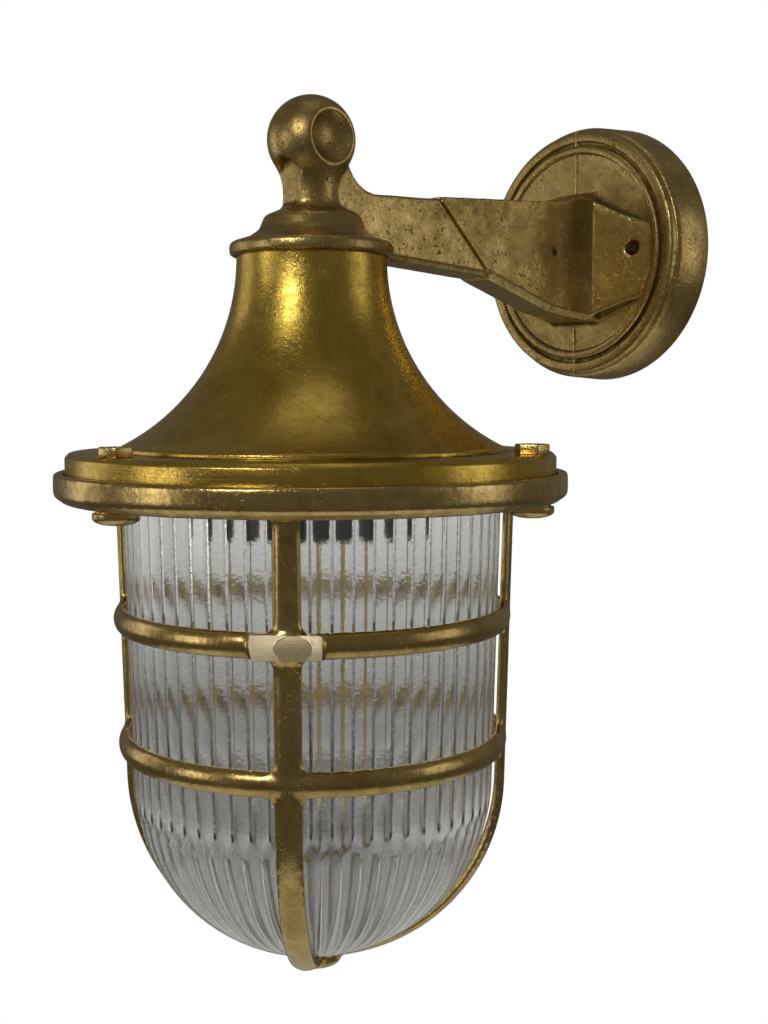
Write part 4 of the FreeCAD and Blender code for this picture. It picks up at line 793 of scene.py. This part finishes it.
class LANTERN_OT_bolts(bpy.types.Operator):
    """Make the three bolts with their threads, washers and nuts"""

    bl_idname = "lantern.bolts"
    bl_label = "Make Bolts"

    def execute(self, context):
        sizes = context.scene.lantern_bolts
        nuts = []
        for number in BOLTS:
            name, washer_name = f"bolt_{number}", f"bolt_washer_{number}"
            low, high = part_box(name)
            foot = Vector(((low.x + high.x) / 2, (low.y + high.y) / 2, low.z))
            radius, tall = (high.x - low.x) / 2 / MM, (high.z - low.z) / MM
            crown = sizes.head - sizes.edge
            top_flat, root, crest = 1.5, sizes.shank - 0.45, sizes.shank - 0.05
            outline = [(0, 0), (top_flat, 0)]
            for angle in (18, 36, 54, 72, 90):
                turn = math.radians(angle)
                outline.append((top_flat + (radius - top_flat) * math.sin(turn),
                                crown * (1 - math.cos(turn))))
            outline += [(radius, sizes.head - 0.25), (radius - 0.25, sizes.head),
                        (sizes.shank - 0.2, sizes.head)]
            height = sizes.head + 3
            while height < tall - 0.9:
                outline += [(root, height), (crest, height + sizes.pitch * 0.5)]
                height += sizes.pitch
            outline += [(root, tall - 0.1), (sizes.shank - 0.9, tall), (0, tall)]
            bolt = turned(name + "_made", foot, outline, 48)
            socket = rod("socket", sizes.socket, foot - Vector((0, 0, MM)),
                         foot + Vector((0, 0, 2.2 * MM)), 6)
            cut(bolt, socket)
            smooth(bolt)
            deliver(bolt, finishes["fastener"], name, "fastener_brass", name)
            low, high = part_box(washer_name)
            middle = Vector(((low.x + high.x) / 2, (low.y + high.y) / 2, low.z))
            ring, thick = (high.x - low.x) / 2 / MM, (high.z - low.z) / MM
            washer = turned(washer_name + "_made", middle,
                            [(3.3, 0), (ring, 0), (ring, thick), (3.3, thick)], 64, bevel=0.12)
            deliver(washer, finishes["fastener"], washer_name, "fastener_brass", washer_name)
            top = Vector((foot.x, foot.y, RING.z + FLANGE_TOP * MM))
            nut = rod("nut", sizes.nut, top, top + Vector((0, 0, sizes.nut_height * MM)), 6)
            modify(nut, "BEVEL", width=0.4 * MM, segments=2, limit_method="ANGLE")
            cut(nut, rod("bore", sizes.shank + 0.05, top - Vector((0, 0, 2 * MM)),
                         top + Vector((0, 0, 6 * MM)), 32))
            nuts.append(nut)
        made = smooth(join("nuts_made", *nuts))
        deliver(made, finishes["fastener"], "lantern", "fastener_brass", "hood_nuts")
        return {"FINISHED"}


# ---------------------------------------------------------------- glass

class LanternJar(bpy.types.PropertyGroup):
    """Sizes of the glass jar."""

    reeds: IntProperty(name="Reeds", description="Reeds round the inside", default=60, min=8)
    steps: IntProperty(name="Steps", description="Faces across one reed", default=8, min=4)
    wall: length_property("Wall", "Thickness of the glass between reeds", 3.4)
    reed_depth: length_property("Reed depth", "How far a reed stands in from the wall", 1.3)
    dome_drop: length_property("Dome", "Ring's underside down to the dome's centre", DOME_DROP)
    change_drop: length_property("Change", "Ring's underside down to where the dome's reeds "
                                 "start between the wall's", 104.0)
    draft: FloatProperty(name="Draft", description="Taper of the straight wall, degrees",
                         default=DRAFT)


def reed_height(jar, angle, drop, radius, dome):
    """How far the inside stands in at this angle, this far below the ring."""
    turn = angle * jar.reeds / 2
    straight = jar.reed_depth * abs(math.cos(turn)) ** 0.42
    below = (drop - jar.change_drop) / 5.0
    if below < -1:
        return straight
    narrow = min(1.0, radius / (0.5 * dome))
    domed = jar.reed_depth * abs(math.sin(turn)) ** 0.5 * narrow
    if below > 1:
        return domed
    return max(straight - (below + 1) * 0.75, domed - (1 - below) * 0.75, 0.0)


class LANTERN_OT_jar(bpy.types.Operator):
    """Press the glass jar: smooth outside, reeded inside, with a rolled rim"""

    bl_idname = "lantern.jar"
    bl_label = "Press Jar"

    def execute(self, context):
        jar = context.scene.lantern_jar
        rim = (JAR_HIGH.x - JAR_LOW.x) / 2 / MM
        top = (JAR_HIGH.z - RING.z) / MM
        under = top - 4.6
        dome = (RING.z - JAR_LOW.z) / MM - jar.dome_drop
        slope = math.tan(math.radians(jar.draft))
        inside = dome - jar.wall
        centre = (0, -jar.dome_drop)
        outline = [(dome + (jar.dome_drop + under) * slope, under), (rim, under), (rim, top)]
        rows = 70
        start = (inside + (jar.dome_drop + top) * slope, top)
        end = (inside, -jar.dome_drop)
        for row in range(rows):
            share = row / rows
            outline.append((start[0] + (end[0] - start[0]) * share,
                            start[1] + (end[1] - start[1]) * share))
        outline += arc(centre, inside, 0, -90, 48)
        outline += arc(centre, dome, -90, 0, 30)
        glass = turned("glass_jar", RING, outline, jar.reeds * jar.steps)
        group = glass.vertex_groups.new(name="reeds")
        for vertex in glass.data.vertices:
            place = (vertex.co - RING) / MM
            radius = math.hypot(place.x, place.y)
            drop = -place.z
            wall = inside + (jar.dome_drop - drop) * slope
            if drop > jar.dome_drop:
                wall = math.sqrt(max(inside ** 2 - (drop - jar.dome_drop) ** 2, 0))
            if abs(radius - wall) > 0.3 or place.z > under - 1:
                continue
            height = reed_height(jar, math.atan2(place.y, place.x), drop, radius, dome)
            group.add([vertex.index], max(0.0, min(height / (2 * jar.reed_depth), 1.0)), "REPLACE")
        modify(glass, "DISPLACE", vertex_group="reeds", strength=2 * jar.reed_depth * MM,
               mid_level=0.0, direction="NORMAL")
        smooth(glass, 40)
        deliver(glass, finishes["glass"], "cage", "glass", "glass")
        return {"FINISHED"}


# ---------------------------------------------------------------- stage

class LanternStage(bpy.types.PropertyGroup):
    """Where the camera stands, and the light."""

    azimuth: FloatProperty(name="Azimuth", description="Camera's way round the lantern, degrees",
                           default=48.94)
    pitch: FloatProperty(name="Pitch", description="Camera's tilt down, degrees", default=5.03)
    lens: FloatProperty(name="Lens", description="Focal length, mm", default=48.2)
    eye: FloatVectorProperty(name="Eye", description="Camera's place", subtype="TRANSLATION",
                             default=(0.3624, -0.4350, -0.0540))
    seen_low: colour_property("Seen, low", "Seen through the glass, below", (0.035, 0.034, 0.031))
    seen_high: colour_property("Seen, high", "Seen through the glass, above", (0.66, 0.645, 0.615))
    room_low: colour_property("Room, low", "Room that the brass mirrors, below",
                              (0.085, 0.075, 0.060))
    room_high: colour_property("Room, high", "Room that the brass mirrors, above",
                               (0.125, 0.114, 0.098))


# Name, azimuth and elevation in degrees, distance, width and height in metres, glow.
LIGHTS = (
    ("key_light", 19, 30, 1.3, 0.22, 0.34, 14.0),
    ("left_light", -18, 4, 1.2, 0.26, 0.6, 2.1),
    ("right_light", 128, 10, 1.1, 0.42, 0.7, 0.72),
    ("top_light", 60, 88, 1.2, 0.6, 0.6, 0.30),
    ("wall_light", -62, 5, 1.2, 0.5, 0.8, 0.7),
)


def softbox(name, azimuth, elevation, distance, width, height, glow, tint=(1, 0.96, 0.90)):
    """A soft panel that faces the lantern; glow is how bright it looks."""
    turn, lift = math.radians(azimuth), math.radians(elevation)
    way = Vector((math.sin(turn) * math.cos(lift), -math.cos(turn) * math.cos(lift), math.sin(lift)))
    bpy.ops.object.light_add(type="AREA", location=RING + way * distance)
    lamp = bpy.context.object
    lamp.name = name
    lamp.rotation_mode = "QUATERNION"
    lamp.rotation_quaternion = (-way).to_track_quat("-Z", "Y")
    lamp.data.shape = "RECTANGLE"
    lamp.data.size = width
    lamp.data.size_y = height
    lamp.data.energy = glow * math.pi * width * height
    lamp.data.color = tint
    return lamp


def sky(tree, level, low, high):
    """A background whose colour runs from low to high as the view rises."""
    mixed = tree.nodes.new("ShaderNodeMix")
    mixed.data_type = "RGBA"
    tree.links.new(level, mixed.inputs[0])
    mixed.inputs[6].default_value = (*low, 1)
    mixed.inputs[7].default_value = (*high, 1)
    node = tree.nodes.new("ShaderNodeBackground")
    tree.links.new(mixed.outputs[2], node.inputs["Color"])
    return node


def light_room(stage):
    """White behind the lantern, grey through its glass, and a dim room in its reflections."""
    world = bpy.data.worlds.new("studio")
    bpy.context.scene.world = world
    world.use_nodes = True
    tree = world.node_tree
    tree.nodes.clear()
    output = tree.nodes.new("ShaderNodeOutputWorld")
    path = tree.nodes.new("ShaderNodeLightPath")
    split = tree.nodes.new("ShaderNodeSeparateXYZ")
    tree.links.new(tree.nodes.new("ShaderNodeTexCoord").outputs["Generated"], split.inputs[0])
    level = tree.nodes.new("ShaderNodeMapRange")
    tree.links.new(split.outputs["Z"], level.inputs["Value"])
    level.inputs["From Min"].default_value = -0.34
    level.inputs["From Max"].default_value = -0.02
    white = (1, 1, 1)
    layers = (
        ("Is Transmission Ray", sky(tree, level.outputs[0], stage.seen_low, stage.seen_high)),
        ("Is Camera Ray", sky(tree, level.outputs[0], white, white)),
    )
    below = sky(tree, level.outputs[0], stage.room_low, stage.room_high)
    for ray, layer in layers:
        mixed = tree.nodes.new("ShaderNodeMixShader")
        tree.links.new(path.outputs[ray], mixed.inputs[0])
        tree.links.new(below.outputs[0], mixed.inputs[1])
        tree.links.new(layer.outputs[0], mixed.inputs[2])
        below = mixed
    tree.links.new(below.outputs[0], output.inputs["Surface"])


class LANTERN_OT_stage(bpy.types.Operator):
    """Set the floor, the soft lights and the camera"""

    bl_idname = "lantern.stage"
    bl_label = "Set Stage"

    def execute(self, context):
        stage = context.scene.lantern_stage
        clear_hands()
        bpy.ops.mesh.primitive_circle_add(vertices=96, radius=0.62, fill_type="NGON",
                                          location=(AXIS.x, AXIS.y, CAGE_LOW.z - 0.40))
        floor = seat(bpy.context.object, "floor")
        pale = Finish("pale_floor")
        tone = pale.noise(400, 2, 0.5)
        near = context.scene.lantern_finishes.floor_colour
        colour = pale.mix(tone, near, [value * 0.97 for value in near])
        floor.data.materials.append(pale.surface(
            Base_Color=colour, Roughness=0.8, Emission_Color=colour, Emission_Strength=0.25))
        for light in LIGHTS:
            softbox(*light)
        light_room(stage)
        bpy.ops.object.camera_add(location=stage.eye)
        camera = context.object
        camera.name = "camera"
        turn, tilt = math.radians(stage.azimuth), math.radians(stage.pitch)
        ahead = Vector((-math.sin(turn) * math.cos(tilt), math.cos(turn) * math.cos(tilt),
                        -math.sin(tilt)))
        camera.rotation_mode = "QUATERNION"
        camera.rotation_quaternion = ahead.to_track_quat("-Z", "Y")
        camera.data.lens = stage.lens
        camera.data.sensor_width = 36
        context.scene.camera = camera
        context.scene.view_settings.view_transform = "Standard"
        return {"FINISHED"}


class LANTERN_PT_panel(bpy.types.Panel):
    """The lantern's operators"""

    bl_label = "Ship Lantern"
    bl_space_type = "VIEW_3D"
    bl_region_type = "UI"
    bl_category = "Lantern"

    def draw(self, context):
        for operator in OPERATORS:
            self.layout.operator(operator.bl_idname)


OPERATORS = (
    LANTERN_OT_finishes,
    LANTERN_OT_small_parts,
    LANTERN_OT_cage,
    LANTERN_OT_hood,
    LANTERN_OT_arm,
    LANTERN_OT_bolts,
    LANTERN_OT_jar,
    LANTERN_OT_stage,
)
SETTINGS = {
    "lantern_finishes": LanternFinishes,
    "lantern_cage": LanternCage,
    "lantern_plate": LanternPlate,
    "lantern_bolts": LanternBolts,
    "lantern_jar": LanternJar,
    "lantern_stage": LanternStage,
}


def register():
    for name, group in SETTINGS.items():
        bpy.utils.register_class(group)
        setattr(bpy.types.Scene, name, PointerProperty(type=group))
    for made in (*OPERATORS, LANTERN_PT_panel):
        bpy.utils.register_class(made)


def unregister():
    for made in (LANTERN_PT_panel, *reversed(OPERATORS)):
        bpy.utils.unregister_class(made)
    for name, group in SETTINGS.items():
        delattr(bpy.types.Scene, name)
        bpy.utils.unregister_class(group)


def main():
    register()
    for operator in OPERATORS:
        group, name = operator.bl_idname.split(".")
        getattr(getattr(bpy.ops, group), name)()


if __name__ == "__main__":
    main()
